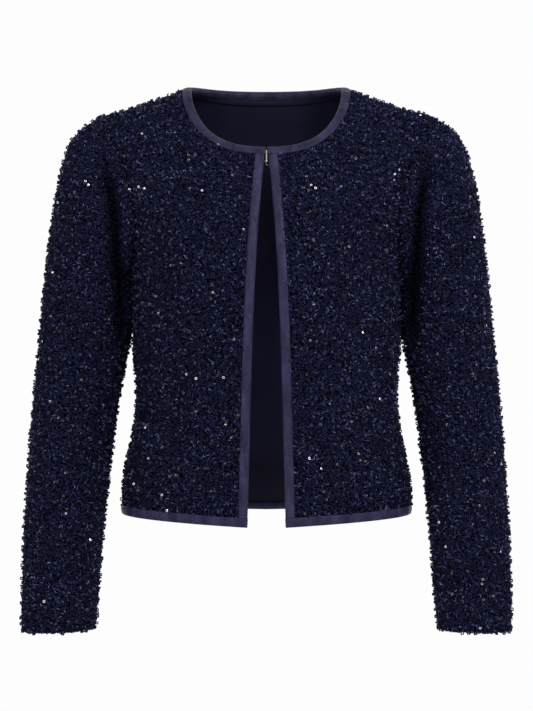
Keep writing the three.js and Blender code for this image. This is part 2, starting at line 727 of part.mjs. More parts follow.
// A round wire along a smooth path.
function wire(points) {
  const path = new THREE.CatmullRomCurve3(points.map((p) => new THREE.Vector3(...p)));
  const section = new THREE.Shape();
  section.absarc(0, 0, WIRE_RADIUS, 0, 2 * Math.PI);
  const steps = 18;
  const options = { steps, extrudePath: path, curveSegments: 4, bevelEnabled: false };
  return new THREE.ExtrudeGeometry(section, options);
}

// A place near the middle of the front, at a depth behind the cloth's outer side.
function behindFront(x, depth, z) {
  const p = bodyPoint(FRONT, 0, z);
  return [x, p.y - depth / bodyNormal(p).y, z];
}

const BEHIND_BANDS = PLAIN_DEPTH + SATIN + SEAM_GAP + WIRE_RADIUS;

// The eye's round end stands in the gap between the fronts, and its legs lie inside the left one.
function eyeGeometry() {
  const h = EYE_HALF_HEIGHT;
  const at = (x, depth, rise) => behindFront(x, depth, HOOK_Z + rise);
  return wire([
    at(EYE_REACH, BEHIND_BANDS, h * 0.7),
    at(EYE_REACH * 0.6, BEHIND_BANDS, h),
    at(FRONT_OVERHANG * 2.4, BEHIND_BANDS, h),
    at(EYE_X, EYE_DEPTH, h * 0.85),
    at(EYE_X, EYE_DEPTH, 0),
    at(EYE_X, EYE_DEPTH, -h * 0.85),
    at(FRONT_OVERHANG * 2.4, BEHIND_BANDS, -h),
    at(EYE_REACH * 0.6, BEHIND_BANDS, -h),
    at(EYE_REACH, BEHIND_BANDS, -h * 0.7),
  ]);
}

// The hook lies inside the right front, passes behind the eye's end and turns back over it.
function hookGeometry() {
  const round = 2 * WIRE_RADIUS + SEAM_GAP;
  const at = (x, depth) => behindFront(x, depth, HOOK_Z);
  return wire([
    at(-EYE_REACH, BEHIND_BANDS),
    at(-EYE_REACH * 0.5, BEHIND_BANDS),
    at(EYE_X - WIRE_RADIUS, EYE_DEPTH + round),
    at(EYE_X + round, EYE_DEPTH),
    at(EYE_X, EYE_DEPTH - round),
    at(EYE_X - round, EYE_DEPTH - WIRE_RADIUS),
  ]);
}

const cardigan = new THREE.Group();

function addPiece(name, geometry, look) {
  const piece = new THREE.Mesh(geometry, new THREE.MeshStandardMaterial(look));
  piece.name = name;
  cardigan.add(piece);
}

const front = frontFaces();
const sleeve = sleeveFaces();
const bandStations = stationsOf(frontBandPoints(), () => PLAIN_DEPTH);
const band = bindingFaces(bandStations, OVER_CLEARANCE);
const neck = bindingFaces(stationsOf(neckPoints(), legDepth), OVER_NECK_CLEARANCE);
const hem = bindingFaces(stationsOf(hemPoints(), legDepth), OVER_CLEARANCE);

addPiece("back", backFaces().geometry(), BOUCLE_LOOK);
addPiece("front_left", front.geometry(), BOUCLE_LOOK);
addPiece("front_right", front.geometry(true), BOUCLE_LOOK);
addPiece("sleeve_left", sleeve.geometry(), BOUCLE_LOOK);
addPiece("sleeve_right", sleeve.geometry(true), BOUCLE_LOOK);
addPiece("lining_back", liningFaces().geometry(), LINING_LOOK);
addPiece("neck_binding", neck.geometry(), SATIN_LOOK);
addPiece("front_binding_left", band.geometry(), SATIN_LOOK);
addPiece("front_binding_right", band.geometry(true), SATIN_LOOK);
addPiece("hem_binding", hem.geometry(), SATIN_LOOK);
addPiece("eye", eyeGeometry(), METAL_LOOK);
addPiece("hook", hookGeometry(), METAL_LOOK);

export default cardigan;
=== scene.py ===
"""A short collarless cardigan jacket in sequinned boucle, filled out as it is worn.

Lengths in the tables are millimetres, and every mesh is made in metres. The front faces -Y and
the wearer's left is +X.
"""

import math

import bmesh
import bpy
import numpy as np
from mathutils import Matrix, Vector, kdtree


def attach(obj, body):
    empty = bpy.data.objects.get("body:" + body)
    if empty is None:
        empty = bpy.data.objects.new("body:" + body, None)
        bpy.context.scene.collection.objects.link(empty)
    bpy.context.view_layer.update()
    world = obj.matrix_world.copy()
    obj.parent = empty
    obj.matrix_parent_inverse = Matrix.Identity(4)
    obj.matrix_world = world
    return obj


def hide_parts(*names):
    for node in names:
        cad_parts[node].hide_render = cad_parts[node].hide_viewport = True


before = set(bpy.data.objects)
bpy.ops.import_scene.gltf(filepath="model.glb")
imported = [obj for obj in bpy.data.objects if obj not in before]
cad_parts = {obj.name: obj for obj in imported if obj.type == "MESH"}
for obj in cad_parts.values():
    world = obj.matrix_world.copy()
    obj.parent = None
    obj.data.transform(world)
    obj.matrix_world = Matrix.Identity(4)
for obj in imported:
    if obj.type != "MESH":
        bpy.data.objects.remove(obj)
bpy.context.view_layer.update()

MM = 0.001
FRONT, BACK = -1, 1
LEFT, RIGHT = 1, -1
UP = np.array([0.0, 0.0, 1.0])

# Walls, and the clearances of the bindings over, under and round the cloth.
CLOTH = 2.0
LINING = 0.8
LINING_GAP = 0.5
LINING_INSET = 3.0
INSET_SHARE = 0.8
SATIN = 0.9
OVER = 0.6
UNDER = 0.9
OVERHANG = 0.8 * (UNDER + SATIN)
BAND_OUTSIDE = 8.8
BAND_INSIDE = 7.8
NECK_BAND_INSIDE = 8.0
BAND_WAVES = ((0.16, 13.7), (0.12, 8.3), (0.14, 31.0), (0.2, 67.0))
LINED_FROM_Y = -25

# The facing inside the neck, by the distance from the edge, its stitches, and the hook's bar.
FACING_TOP = 5
FACING_FOOT = 14.4
STITCH_PITCH = 3
STITCH_RADIUS = 0.32
BAR_PROUD = 1.1
BAR_SIDES = 12

# Heights and half widths of the neck, armhole and hem.
NECK_HALF_WIDTH = 86
FRONT_NECK_Z = -75
BACK_NECK_Z = 2.3
BACK_NECK_FLATNESS = 12
SHOULDER_Z = -33
UNDERARM_Z = -205
HEM_FRONT_Z = -482
HEM_SIDE_Z = -474
HEM_BACK_Z = -477
BACK_CENTRE_UNDERARM_Z = -190

# Rows and columns of the walls, and the coarse rows and columns that the folds fade over.
ROWS_BELOW_ARM = 52
ROWS_BY_ARM = 30
COLUMNS = 34
SLEEVE_SIDES = 2 * ROWS_BY_ARM
SLEEVE_RINGS = 110
BACK_NECK_SHARE = 0.4
FADE_ROWS_BELOW = 13
FADE_ROWS_BY_ARM = 10
FADE_COLUMNS = 11
ROW_SAMPLES = 120
WELD = 0.0002

# Loops of yarn: how many, which of them curl or stand proud, and the ranges of their sizes.
LOOPS_PER_MM2 = 0.083
BACK_LOOPS_PER_MM2 = 0.052
CUFF_LOOPS = 420
TUBE_SIDES = 3
CLUMP_LENGTH = 9.5
CLUMP_WAVES = 16
CURL_SHARE = 0.36
CURL_BY_HILL = 0.14
CURL_HALF = (1.0, 1.7)
CURL_HEIGHT = (0.6, 1.5)
STROKE_HALF = (0.8, 1.6)
STROKE_HEIGHT = (0.3, 0.9)
PROUD_FROM = 0.35
PROUD_RISE = (0.1, 0.6)
PROUD_SWELL = 0.2
SWAY = 1.1
YARN_RADIUS = (0.42, 0.66)
NUB_SHARE = 0.8
NUB_SPACING = 7.2
NUB_STRAY = 0.4
NUB_HALF = (1.2, 1.8)
NUB_HEIGHT = (2.2, 3.2)
NUB_RADIUS = (0.85, 1.25)
NUB_SWAY = 0.4
NUB_SHADE = (0.25, 0.62)
SHADE_SPREAD = (1.0, 1.9)
SHADE_BY_HILL = 0.2
PALE_SHARE = 0.02
PALE_SHADE = (0.8, 1)
CREASE_BARE = 0.3

# Sequins: how many, the ranges of their places and sizes, and their shades, of which the
# brightest are painted glints.
SEQUINS_PER_MM2 = 0.00115
SEQUIN_PAIRS = 0.25
SEQUIN_PAIR_APART = (4.5, 9)
SEQUIN_SIDES = 8
SEQUIN_RADIUS = 1.5
SEQUIN_HOLE = 0.7
SEQUIN_SIZES = (0.85, 1.1)
SEQUIN_TILT = 0.75
SEQUIN_RISE = (1.3, 2.3)
SEQUIN_GLINT_SHARE = 0.13
SEQUIN_GLINT_SHADE = (0.85, 1.0)
SEQUIN_DULL_SPREAD = (1.6, 2.4)
SEQUIN_DULL_TOP = 0.8

# The camera's sensor and lens in millimetres, the studio in metres, the floor in millimetres.
CAMERA_SENSOR = 36
CAMERA_LENS = 108.5
CAMERA_CLIP_END = 50
CAMERA_PLACE = (0, -2.4, -0.2996)
STUDIO_WHITE = (0.984, 0.984, 0.984, 1)
STUDIO_LIGHTS = (
    ("key", (0.75, -1.4, 0.8), (0, 0, -0.12), 0.8, 18),
    ("fill", (-0.9, -2.2, 0.5), (0, 0, -0.3), 1.6, 9),
)
FLOOR_Z = -1400
FLOOR_HALF = 8000


def table(names, *rows):
    """Columns by name, from rows of numbers."""
    return {name: np.array(col, float) for name, col in zip(names.split(), zip(*rows))}


def rows_for(side, folds):
    """The rows of a table of folds that are on the given side, or on both."""
    rows = [dict(zip(folds, row)) for row in zip(*folds.values())]
    return [row for row in rows if row["side"] in (0, side)]


BODY = table(
    "z half_width middle_y front_depth back_depth squareness",
    (-500, 160.5, 0, 116, 97, 2.35),
    (-475, 160.5, 0, 114, 96, 2.35),
    (-450, 160, 0, 113, 94, 2.35),
    (-417, 155.5, 0, 112, 91, 2.33),
    (-383, 148, 0, 110, 88, 2.3),
    (-345, 144.5, 0, 110, 86, 2.3),
    (-290, 148, 0, 115, 91, 2.25),
    (-250, 149, 0, 120, 96, 2.2),
    (-205, 151, 0, 122, 101, 2.2),
    (-150, 172, 1, 116, 102, 2.15),
    (-110, 184, 2, 103, 98, 2.1),
    (-72, 190, 3, 83, 88, 2.05),
    (-50, 189.5, 4, 66, 80, 2),
    (-38, 188.8, 4, 57, 75, 2),
    (-33, 186, 4, 53, 73, 2),
    (-25, 156, 4.5, 48.5, 69.5, 2),
    (-16.5, 131, 5, 44, 66, 2),
    (0, 86, 5, 36, 61, 2),
    (5, 71, 5, 34, 60, 2),
)

FRONT_NECK = table(
    "z x",
    (-75, 0),
    (-74.4, 16),
    (-70.8, 36),
    (-62.3, 54),
    (-49.5, 68),
    (-31, 79),
    (-14.5, 84),
    (0, 86),
)

ARMHOLE = table(
    "z front_x back_x",
    (-205, 151, 151),
    (-185, 146, 149),
    (-160, 145, 151),
    (-130, 149, 156),
    (-100, 156, 162),
    (-70, 166, 170),
    (-46, 177, 179),
    (-33, 186, 186),
)

FRONT_GAP = table(
    "z half",
    (-490, 20.8),
    (-440, 19.3),
    (-294, 15.4),
    (-222, 12.4),
    (-187, 10.6),
    (-130, 6.4),
    (-100, 3.7),
    (-84, 1.9),
    (-75, 0.9),
)

SLEEVE = table(
    "row outer_x outer_z inner_x inner_z middle_y half_depth",
    (0, 185, -33, 151, -205, 2, 61),
    (1, 206, -47, 152.5, -212, -4, 61),
    (2, 220, -66, 154, -220, -5, 60),
    (3, 228, -92, 154.5, -230, -4, 59),
    (4, 236, -130, 154, -245, -3, 58),
    (5, 243, -180, 153.5, -267, -1, 57),
    (6, 249, -235, 156.5, -297, 1, 56),
    (7, 255, -295, 163, -331, 2, 53),
    (8, 260, -350, 168, -365, 0, 50),
    (9, 263.8, -400, 172.6, -405, -6, 48.5),
    (10, 266.3, -454, 177.9, -454, -15, 46.5),
    (11, 268.6, -508, 182.5, -506, -26, 44),
    (12, 268.9, -556, 185.2, -554, -36, 41.5),
    (13, 268.4, -600, 188.4, -598, -45, 39.5),
)
ARMHOLE_FADE_ROWS = 3.4
SLEEVE_ROW_LENGTH = 26
SLEEVE_FADE_TOP = 110
SLEEVE_FADE_CUFF = 90

# The armhole seam is drawn in from an angle below the shoulder, in degrees, to the underarm.
SEAM_DEPTH = 3
SEAM_WIDTH = 9
SEAM_FROM = 45
SEAM_FADE_TOP = 50
SEAM_FADE_FOOT = 32

# The crease beside the armhole, and where it runs down the sleeve.
CREASE_DEPTH = 9
CREASE_WIDTH = 7
CREASE_TOP_Z = -60
CREASE_FADE_TOP = 70
CREASE_FOOT_Z = -310
CREASE_FADE_FOOT = 40
CREASE_FROM_Y = 10
CREASE_FADE_Y = 18
CREASE = table(
    "z x",
    (-310, 157),
    (-262, 162),
    (-218, 163.5),
    (-161, 166),
    (-135, 168),
    (-111, 173),
    (-83, 175.5),
    (-60, 178),
)

# The profile of the hook's upright bar.
BAR = table(
    "z radius",
    (-91.3, 0.05),
    (-90.9, 0.9),
    (-89.8, 1.15),
    (-88.6, 0.95),
    (-86.6, 0.8),
    (-82.6, 0.85),
    (-79.1, 1.05),
    (-77.6, 0.8),
    (-77.2, 0.05),
)

# Paths of a loop, as shares of its half length, its sway and its height over the cloth.
CURL_PATH = table(
    "along across over",
    (-1, 0, -0.5),
    (-0.75, 0.8, 0.95),
    (0.55, -0.9, 1),
    (0.9, 0.5, -0.2),
)
STROKE_PATH = table(
    "along across over",
    (-1, 0, -0.4),
    (0.05, 0.9, 1),
    (1, -0.2, -0.4),
)

# Rings of a sequin, from its rim to its hole, and how far each rises from its middle plane.
SEQUIN_RINGS = table(
    "radius rise",
    (SEQUIN_RADIUS, 0.0),
    (SEQUIN_RADIUS * 0.72, 0.28),
    (SEQUIN_HOLE, 0.1),
    (SEQUIN_HOLE, -0.1),
)

# Soft folds of the body. A trough has a negative depth. Side 0 means both halves.
BODY_FOLDS = table(
    "face side x z angle length width depth",
    (FRONT, 0, 128, -178, 62, 60, 17, -3),
    (FRONT, 0, 112, -250, 40, 46, 19, -2.2),
    (FRONT, 0, 88, -402, 58, 52, 20, -2.6),
    (FRONT, 0, 116, -424, 66, 44, 18, 2.2),
    (BACK, 0, 118, -170, 70, 62, 18, -3),
    (BACK, 0, 84, -330, 24, 56, 19, -2.6),
    (BACK, 0, 60, -366, 12, 60, 17, 2),
    (BACK, 0, 70, -440, 84, 48, 22, 3),
    (FRONT, LEFT, 62, -448, 52, 40, 9, -1.3),
    (FRONT, LEFT, 126, -330, 30, 34, 10, -1.2),
    (FRONT, RIGHT, 70, -330, 64, 44, 11, -1.2),
    (FRONT, RIGHT, 122, -300, 24, 30, 9, -1.3),
    (BACK, LEFT, 40, -250, 80, 60, 12, -1.4),
    (BACK, RIGHT, 96, -270, 52, 44, 10, -1.4),
    (BACK, RIGHT, 44, -420, 72, 40, 12, 1.2),
)

# Soft folds of a sleeve, by the length down it and the angle round it from the outer side.
SLEEVE_FOLDS = table(
    "side down round slope width span depth",
    (0, 78, 118, -0.35, 17, 42, -3.2),
    (0, 215, 130, 0.3, 16, 48, -2.6),
    (0, 262, 235, -0.25, 15, 44, -2.8),
    (0, 305, 140, 0.35, 16, 44, -2.4),
    (0, 120, 250, 0.4, 19, 44, -2.8),
    (0, 440, 60, 0.25, 20, 46, -2),
    (LEFT, 180, 96, 0.5, 8, 34, -1.5),
    (LEFT, 352, 118, -0.3, 9, 40, -1.3),
    (RIGHT, 240, 104, -0.45, 8, 36, -1.4),
    (RIGHT, 385, 96, 0.4, 9, 34, -1.2),
    (0, 80, 186, 0, 50, 44, 7.4),
    (0, 46, 188, 0, 30, 46, 6),
)


def smooth(tab, key, at, name):
    """One column at the given values of the key column: a monotone cubic through its rows."""
    x, y = tab[key], tab[name]
    slope = np.diff(y) / np.diff(x)
    tangent = np.empty_like(y)
    tangent[0], tangent[-1] = slope[0], slope[-1]
    before, after = slope[:-1], slope[1:]
    same = before * after > 0
    total = np.where(same, before + after, 1)
    tangent[1:-1] = np.where(same, 2 * before * after / total, 0)
    at = np.clip(at, x[0], x[-1])
    k = np.clip(np.searchsorted(x, at, side="right") - 1, 0, len(x) - 2)
    span = x[k + 1] - x[k]
    t = (at - x[k]) / span
    bend = tangent[k] * t * (1 - t) ** 2 - tangent[k + 1] * t * t * (1 - t)
    return y[k] + (y[k + 1] - y[k]) * t * t * (3 - 2 * t) + span * bend


def mix(a, b, t):
    """A share t of the way from a to b."""
    return a + (b - a) * t


def smoothstep(t):
    """A rise from 0 to 1 that is level at both ends."""
    c = np.clip(t, 0, 1)
    return c * c * (3 - 2 * c)


def unit(v):
    """The same directions, each of length 1."""
    return v / np.maximum(np.linalg.norm(v, axis=-1, keepdims=True), 1e-9)


def half_width(z):
    """The body's half width at a height."""
    return smooth(BODY, "z", z, "half_width")


def body_level(p):
    """1 on the body's surface, less inside it and more outside."""
    x, y, z = np.moveaxis(p, -1, 0)
    middle = smooth(BODY, "z", z, "middle_y")
    front = smooth(BODY, "z", z, "front_depth")
    back = smooth(BODY, "z", z, "back_depth")
    e = smooth(BODY, "z", z, "squareness")
    depth = np.where(y < middle, front, back)
    return (np.abs(x) / half_width(z)) ** e + (np.abs(y - middle) / depth) ** e


def body_normal(p):
    """The directions straight out of the body's surface."""
    step = 0.05
    n = np.zeros_like(p)
    for axis in range(3):
        offset = np.zeros(3)
        offset[axis] = step
        n[..., axis] = body_level(p + offset) - body_level(p - offset)
    return unit(n)


def body_point(face, x, z):
    """The body's surface at a place of its front or back elevation."""
    x, z = np.broadcast_arrays(np.asarray(x, float), np.asarray(z, float))
    e = smooth(BODY, "z", z, "squareness")
    depth = smooth(BODY, "z", z, "front_depth" if face == FRONT else "back_depth")
    u = np.minimum(1, np.abs(x) / half_width(z))
    y = smooth(BODY, "z", z, "middle_y") + face * depth * (1 - u**e) ** (1 / e)
    return np.stack([x, y, z], -1)


def onto_body(p):
    """The nearest points of the body's surface, along its own normals."""
    q = p.copy()
    step = 0.5
    for _ in range(6):
        n = body_normal(q)
        here = body_level(q) - 1
        slope = (body_level(q + n * step) - 1 - here) / step
        q = q - n * (here / slope)[..., None]
    return q


def front_gap(z):
    """Half the gap between the two bound front edges."""
    return smooth(FRONT_GAP, "z", z, "half")


def cloth_edge(z):
    """How far from the middle the front's own cloth ends, inside its binding."""
    return front_gap(z) + OVERHANG


HEM_HALF_WIDTH = float(half_width(HEM_SIDE_Z))


def hem_z(face, x):
    """The hem's height, from the middle out to the side."""
    from_x = float(cloth_edge(HEM_FRONT_Z)) if face == FRONT else 0
    from_z = HEM_FRONT_Z if face == FRONT else HEM_BACK_Z
    return mix(from_z, HEM_SIDE_Z, (np.abs(x) - from_x) / (HEM_HALF_WIDTH - from_x))


def back_neck_z(x):
    """The back neck's height, which is level but for its ends."""
    return BACK_NECK_Z * (1 - (np.abs(x) / NECK_HALF_WIDTH) ** BACK_NECK_FLATNESS)


def run_along(points):
    """The length along a line of points, up to each of them."""
    return np.concatenate([[0], np.cumsum(np.linalg.norm(np.diff(points, axis=0), axis=1))])


def even(points, at):
    """Points at the given fractions of a polyline's length."""
    run = run_along(points)
    want = np.asarray(at) * run[-1]
    return np.stack([np.interp(want, run, points[:, k]) for k in range(3)], -1)


def fractions(count):
    """Even shares from 0 to 1."""
    return np.linspace(0, 1, count + 1)


def front_neck_points(start_x, count):
    """The front half of the neck edge, from the gap to the shoulder."""
    z = mix(FRONT_NECK_Z, 0, fractions(ROW_SAMPLES) ** 2)
    x = np.maximum(start_x, smooth(FRONT_NECK, "z", z, "x"))
    return even(body_point(FRONT, x, z), fractions(count))


def armhole_plan(face, angle):
    """Half width and height of the armhole seam, by the angle from the shoulder."""
    z = mix(UNDERARM_Z, SHOULDER_Z, (1 + np.cos(angle)) / 2)
    return smooth(ARMHOLE, "z", z, "front_x" if face == FRONT else "back_x"), z


def panel_edges(face):
    """The plans of a face's two edges, the middle one and the side one, from hem to shoulder."""
    low = fractions(ROWS_BELOW_ARM)
    side_z = mix(HEM_SIDE_Z, UNDERARM_Z, low)
    arm = armhole_plan(face, np.pi * (1 - fractions(ROWS_BY_ARM)[1:]))
    side = np.stack(
        [np.concatenate([half_width(side_z), arm[0]]), np.concatenate([side_z, arm[1]])], -1
    )
    if face == FRONT:
        z = mix(HEM_FRONT_Z, FRONT_NECK_Z, low)
        lower = np.stack([cloth_edge(z), z], -1)
        neck = front_neck_points(float(cloth_edge(FRONT_NECK_Z)), ROWS_BY_ARM)[1:, [0, 2]]
        return np.concatenate([lower, neck]), side
    z = mix(HEM_BACK_Z, BACK_CENTRE_UNDERARM_Z, low)
    to_neck = round(BACK_NECK_SHARE * ROWS_BY_ARM)
    middle = mix(BACK_CENTRE_UNDERARM_Z, BACK_NECK_Z, fractions(to_neck)[1:])
    heights = np.concatenate([z, middle])
    x = NECK_HALF_WIDTH * np.sin(np.pi / 2 * fractions(ROW_SAMPLES))
    neck = even(body_point(BACK, x, back_neck_z(x)), fractions(ROWS_BY_ARM - to_neck))
    lower = np.stack([np.zeros_like(heights), heights], -1)
    return np.concatenate([lower, neck[1:, [0, 2]]]), side


def body_fold(face, side, p):
    """How far the folds move the cloth along its normal."""
    total = np.zeros(p.shape[:-1])
    for f in rows_for(side, BODY_FOLDS):
        if f["face"] != face:
            continue
        turn = math.radians(f["angle"])
        dx, dz = p[..., 0] - f["x"], p[..., 2] - f["z"]
        along = dx * math.cos(turn) + dz * math.sin(turn)
        across = dz * math.cos(turn) - dx * math.sin(turn)
        total += f["depth"] * np.exp(-((along / f["length"]) ** 2) - (across / f["width"]) ** 2)
    return total


def panel_surface(face):
    """Points of half a face on the body's surface, in rows from the hem to the shoulder."""
    middle, outside = panel_edges(face)
    t = np.sin(np.pi / 2 * fractions(ROW_SAMPLES))[:, None]
    top = mix(middle[-1], outside[-1], t)
    points = np.empty((len(middle), COLUMNS + 1, 3))
    ridge_from = 1 - 1 / FADE_ROWS_BY_ARM
    for j in range(len(middle)):
        plan = mix(middle[j], outside[j], t)
        up = (j - ROWS_BELOW_ARM) / ROWS_BY_ARM
        weight = np.clip((up - ridge_from) / (1 - ridge_from), 0, 1)
        if weight > 0:
            plan[:, 0] += weight * (half_width(top[:, 1]) - top[:, 0])
        line = body_point(face, np.minimum(plan[:, 0], half_width(plan[:, 1])), plan[:, 1])
        points[j] = even(line, fractions(COLUMNS))
    return points


def panel_fade(face, rows):
    """The share of its folds that each point of a panel keeps, which is none by the edges."""
    j = np.arange(rows, dtype=float)
    below = np.minimum(j / ROWS_BELOW_ARM, 1) * FADE_ROWS_BELOW
    by = np.maximum(j - ROWS_BELOW_ARM, 0) / ROWS_BY_ARM * FADE_ROWS_BY_ARM
    row = (below + by)[:, None]
    column = (np.arange(COLUMNS + 1) / COLUMNS * FADE_COLUMNS)[None, :]
    last = FADE_ROWS_BELOW + FADE_ROWS_BY_ARM
    fade = smoothstep(np.minimum((row - 1) / 2, (last - row) / 2))
    fade = fade * smoothstep((FADE_COLUMNS - column) / 2)
    if face == FRONT:
        fade = fade * smoothstep((column - 1) / 2)
    return fade


def panel_grid(face, side):
    """Outer points of half a face and the directions through its cloth there."""
    points = panel_surface(face)
    through = body_normal(points)
    fade = panel_fade(face, len(points))
    points += through * (body_fold(face, side, points) * fade)[..., None]
    up = np.maximum(np.arange(len(points), dtype=float) - ROWS_BELOW_ARM, 0) / ROWS_BY_ARM
    from_seam = np.linalg.norm(points - points[:, -1:], axis=-1)
    drawn = seam_depth(np.pi * (1 - up))[:, None] * np.exp(-((from_seam / SEAM_WIDTH) ** 2))
    points -= through * drawn[..., None]
    return points, through


def in_crease(p):
    """How deep a point lies in the crease where the sleeve folds onto the body, from 0 to 1: it
    draws the sleeve in, and it sets the painted shade there.
    """
    z = p[..., 2]
    across = (np.abs(p[..., 0]) - smooth(CREASE, "z", z, "x")) / CREASE_WIDTH
    top = smoothstep((CREASE_TOP_Z - z) / CREASE_FADE_TOP)
    foot = smoothstep((z - CREASE_FOOT_Z) / CREASE_FADE_FOOT)
    out = smoothstep((np.abs(p[..., 1]) - CREASE_FROM_Y) / CREASE_FADE_Y)
    return np.exp(-(across**2)) * (top * foot) * out


def seam_depth(angle):
    """How far the armhole seam is drawn in, by the angle from the shoulder."""
    turned = np.mod(angle, 2 * np.pi)
    from_top = np.minimum(turned, 2 * np.pi - turned)
    start = smoothstep((from_top - np.radians(SEAM_FROM)) / np.radians(SEAM_FADE_TOP))
    return SEAM_DEPTH * start * smoothstep((np.pi - from_top) / np.radians(SEAM_FADE_FOOT))


def armhole_point(angle):
    """The armhole seam by the angle from the shoulder, through the front, underarm and back."""
    on_front = np.mod(angle, 2 * np.pi) <= np.pi
    front = body_point(FRONT, *armhole_plan(FRONT, angle))
    back = body_point(BACK, *armhole_plan(BACK, angle))
    return np.where(on_front[..., None], front, back)


def sleeve_point(row, angle):
    """The left sleeve's surface without its folds."""

    def ring(r):
        ox, oz, ix, iz, my, hd = (
            smooth(SLEEVE, "row", r, name)
            for name in ("outer_x", "outer_z", "inner_x", "inner_z", "middle_y", "half_depth")
        )
        t = (1 - np.cos(angle)) / 2
        return np.stack([mix(ox, ix, t), my - hd * np.sin(angle), mix(oz, iz, t)], -1)

    fade = 1 - smoothstep(row / ARMHOLE_FADE_ROWS)
    seam = armhole_point(angle)
    from_seam = row * SLEEVE_ROW_LENGTH
    crease = seam_depth(angle) * np.exp(-((from_seam / SEAM_WIDTH) ** 2))
    at = ring(row) + (seam - ring(np.zeros_like(row))) * fade[..., None]
    return at - body_normal(seam) * crease[..., None]


def sleeve_grid(side):
    """Outer points of the left sleeve, with its folds, and the directions through its cloth."""
    row, angle = np.meshgrid(
        fractions(SLEEVE_RINGS) * SLEEVE["row"][-1],
        2 * np.pi * fractions(SLEEVE_SIDES)[:-1],
        indexing="ij",
    )
    points = sleeve_point(row, angle)
    down = np.gradient(points, axis=0)
    around = np.roll(points, -1, axis=1) - np.roll(points, 1, axis=1)
    through = unit(np.cross(around, down))
    run = run_along(points.mean(axis=1))
    length = run[:, None]
    degrees = np.degrees(angle)
    fold = np.zeros_like(row)
    for f in rows_for(side, SLEEVE_FOLDS):
        offset = degrees - f["round"]
        across = length - f["down"] - f["slope"] * offset
        fold += f["depth"] * np.exp(-((across / f["width"]) ** 2) - (offset / f["span"]) ** 2)
    fade = smoothstep(length / SLEEVE_FADE_TOP)
    fade = fade * smoothstep((run[-1] - length) / SLEEVE_FADE_CUFF)
    points += through * (fold * fade - CREASE_DEPTH * in_crease(points))[..., None]
    return points, through


# Meshes


def new_object(name, verts, faces, slots, materials, side=LEFT, smooth_faces=True):
    """An object from points in millimetres. A mirrored one has its faces turned back."""
    verts = np.asarray(verts, float) * MM
    if side == RIGHT:
        verts = verts * np.array([-1, 1, 1])
        faces = [f[::-1] for f in faces] if isinstance(faces, list) else faces[:, ::-1]
    mesh = bpy.data.meshes.new(name)
    sizes = np.array([len(f) for f in faces], np.int32)
    starts = np.concatenate([[0], np.cumsum(sizes)[:-1]]).astype(np.int32)
    flat = np.concatenate([np.asarray(f, np.int32) for f in faces])
    mesh.vertices.add(len(verts))
    mesh.vertices.foreach_set("co", verts.astype(np.float32).ravel())
    mesh.loops.add(len(flat))
    mesh.loops.foreach_set("vertex_index", flat)
    mesh.polygons.add(len(sizes))
    mesh.polygons.foreach_set("loop_start", starts)
    for m in materials:
        mesh.materials.append(m)
    mesh.polygons.foreach_set("material_index", np.asarray(slots, np.int32))
    mesh.polygons.foreach_set("use_smooth", np.full(len(sizes), smooth_faces))
    mesh.update(calc_edges=True)
    mesh.validate()
    obj = bpy.data.objects.new(name, mesh)
    bpy.context.scene.collection.objects.link(obj)
    return obj


def grid_quads(rows, columns, offset=0, wrap=False, turned=False):
    """Faces of a grid of points, each row holding the given count of points."""
    across = np.arange(columns if wrap else columns - 1)
    j, i = np.meshgrid(np.arange(rows - 1), across, indexing="ij")
    nxt = (i + 1) % columns
    quads = np.stack(
        [j * columns + i, j * columns + nxt, (j + 1) * columns + nxt, (j + 1) * columns + i], -1
    ).reshape(-1, 4)
    return (quads[:, ::-1] if turned else quads) + offset


def edge_quads(outer, inner, turned=False):
    """Faces that close a wall between matching runs of outer and inner points."""
    outer, inner = np.asarray(outer), np.asarray(inner)
    quads = np.stack([outer[:-1], inner[:-1], inner[1:], outer[1:]], -1)
    return quads[:, ::-1] if turned else quads


def wall_object(name, outer, inner, materials, side=LEFT, wrap=False, turned=False, open_rows=0):
    """A thin wall from its outer and inner points. Its inner faces have the last material."""
    rows, columns = outer.shape[:2]
    count = rows * columns
    index = np.arange(count).reshape(rows, columns)
    outside = grid_quads(rows, columns, 0, wrap, turned)
    inside = grid_quads(rows, columns, count, wrap, not turned)
    if wrap:
        ring = np.append(index[0], index[0, 0])
        end = np.append(index[-1], index[-1, 0])
        rims = [edge_quads(ring, ring + count), edge_quads(end, end + count, True)]
    else:
        left, right = index[open_rows:, 0], index[:, -1]
        rims = [
            edge_quads(index[0], index[0] + count, turned),
            edge_quads(index[-1], index[-1] + count, not turned),
            edge_quads(left, left + count, not turned),
            edge_quads(right, right + count, turned),
        ]
    rim = np.concatenate(rims)
    faces = np.concatenate([outside, inside, rim])
    last = np.full(len(inside), len(materials) - 1)
    slots = np.concatenate([np.zeros(len(outside)), last, np.zeros(len(rim))])
    verts = np.concatenate([outer.reshape(-1, 3), inner.reshape(-1, 3)])
    return new_object(name, verts, faces, slots, materials, side)


def merge_pieces(name, pieces, weld=0.0):
    """Joins objects into the first, and welds the points that meet."""
    for o in bpy.context.selected_objects:
        o.select_set(False)
    for o in pieces:
        o.select_set(True)
    bpy.context.view_layer.objects.active = pieces[0]
    bpy.ops.object.join()
    joined = bpy.context.view_layer.objects.active
    joined.name = name
    joined.data.name = name
    if weld:
        bm = bmesh.new()
        bm.from_mesh(joined.data)
        bmesh.ops.remove_doubles(bm, verts=bm.verts, dist=weld)
        bm.to_mesh(joined.data)
        bm.free()
    return joined


# Materials. A stop of a ramp is a place and a colour, or a place and a single grey.

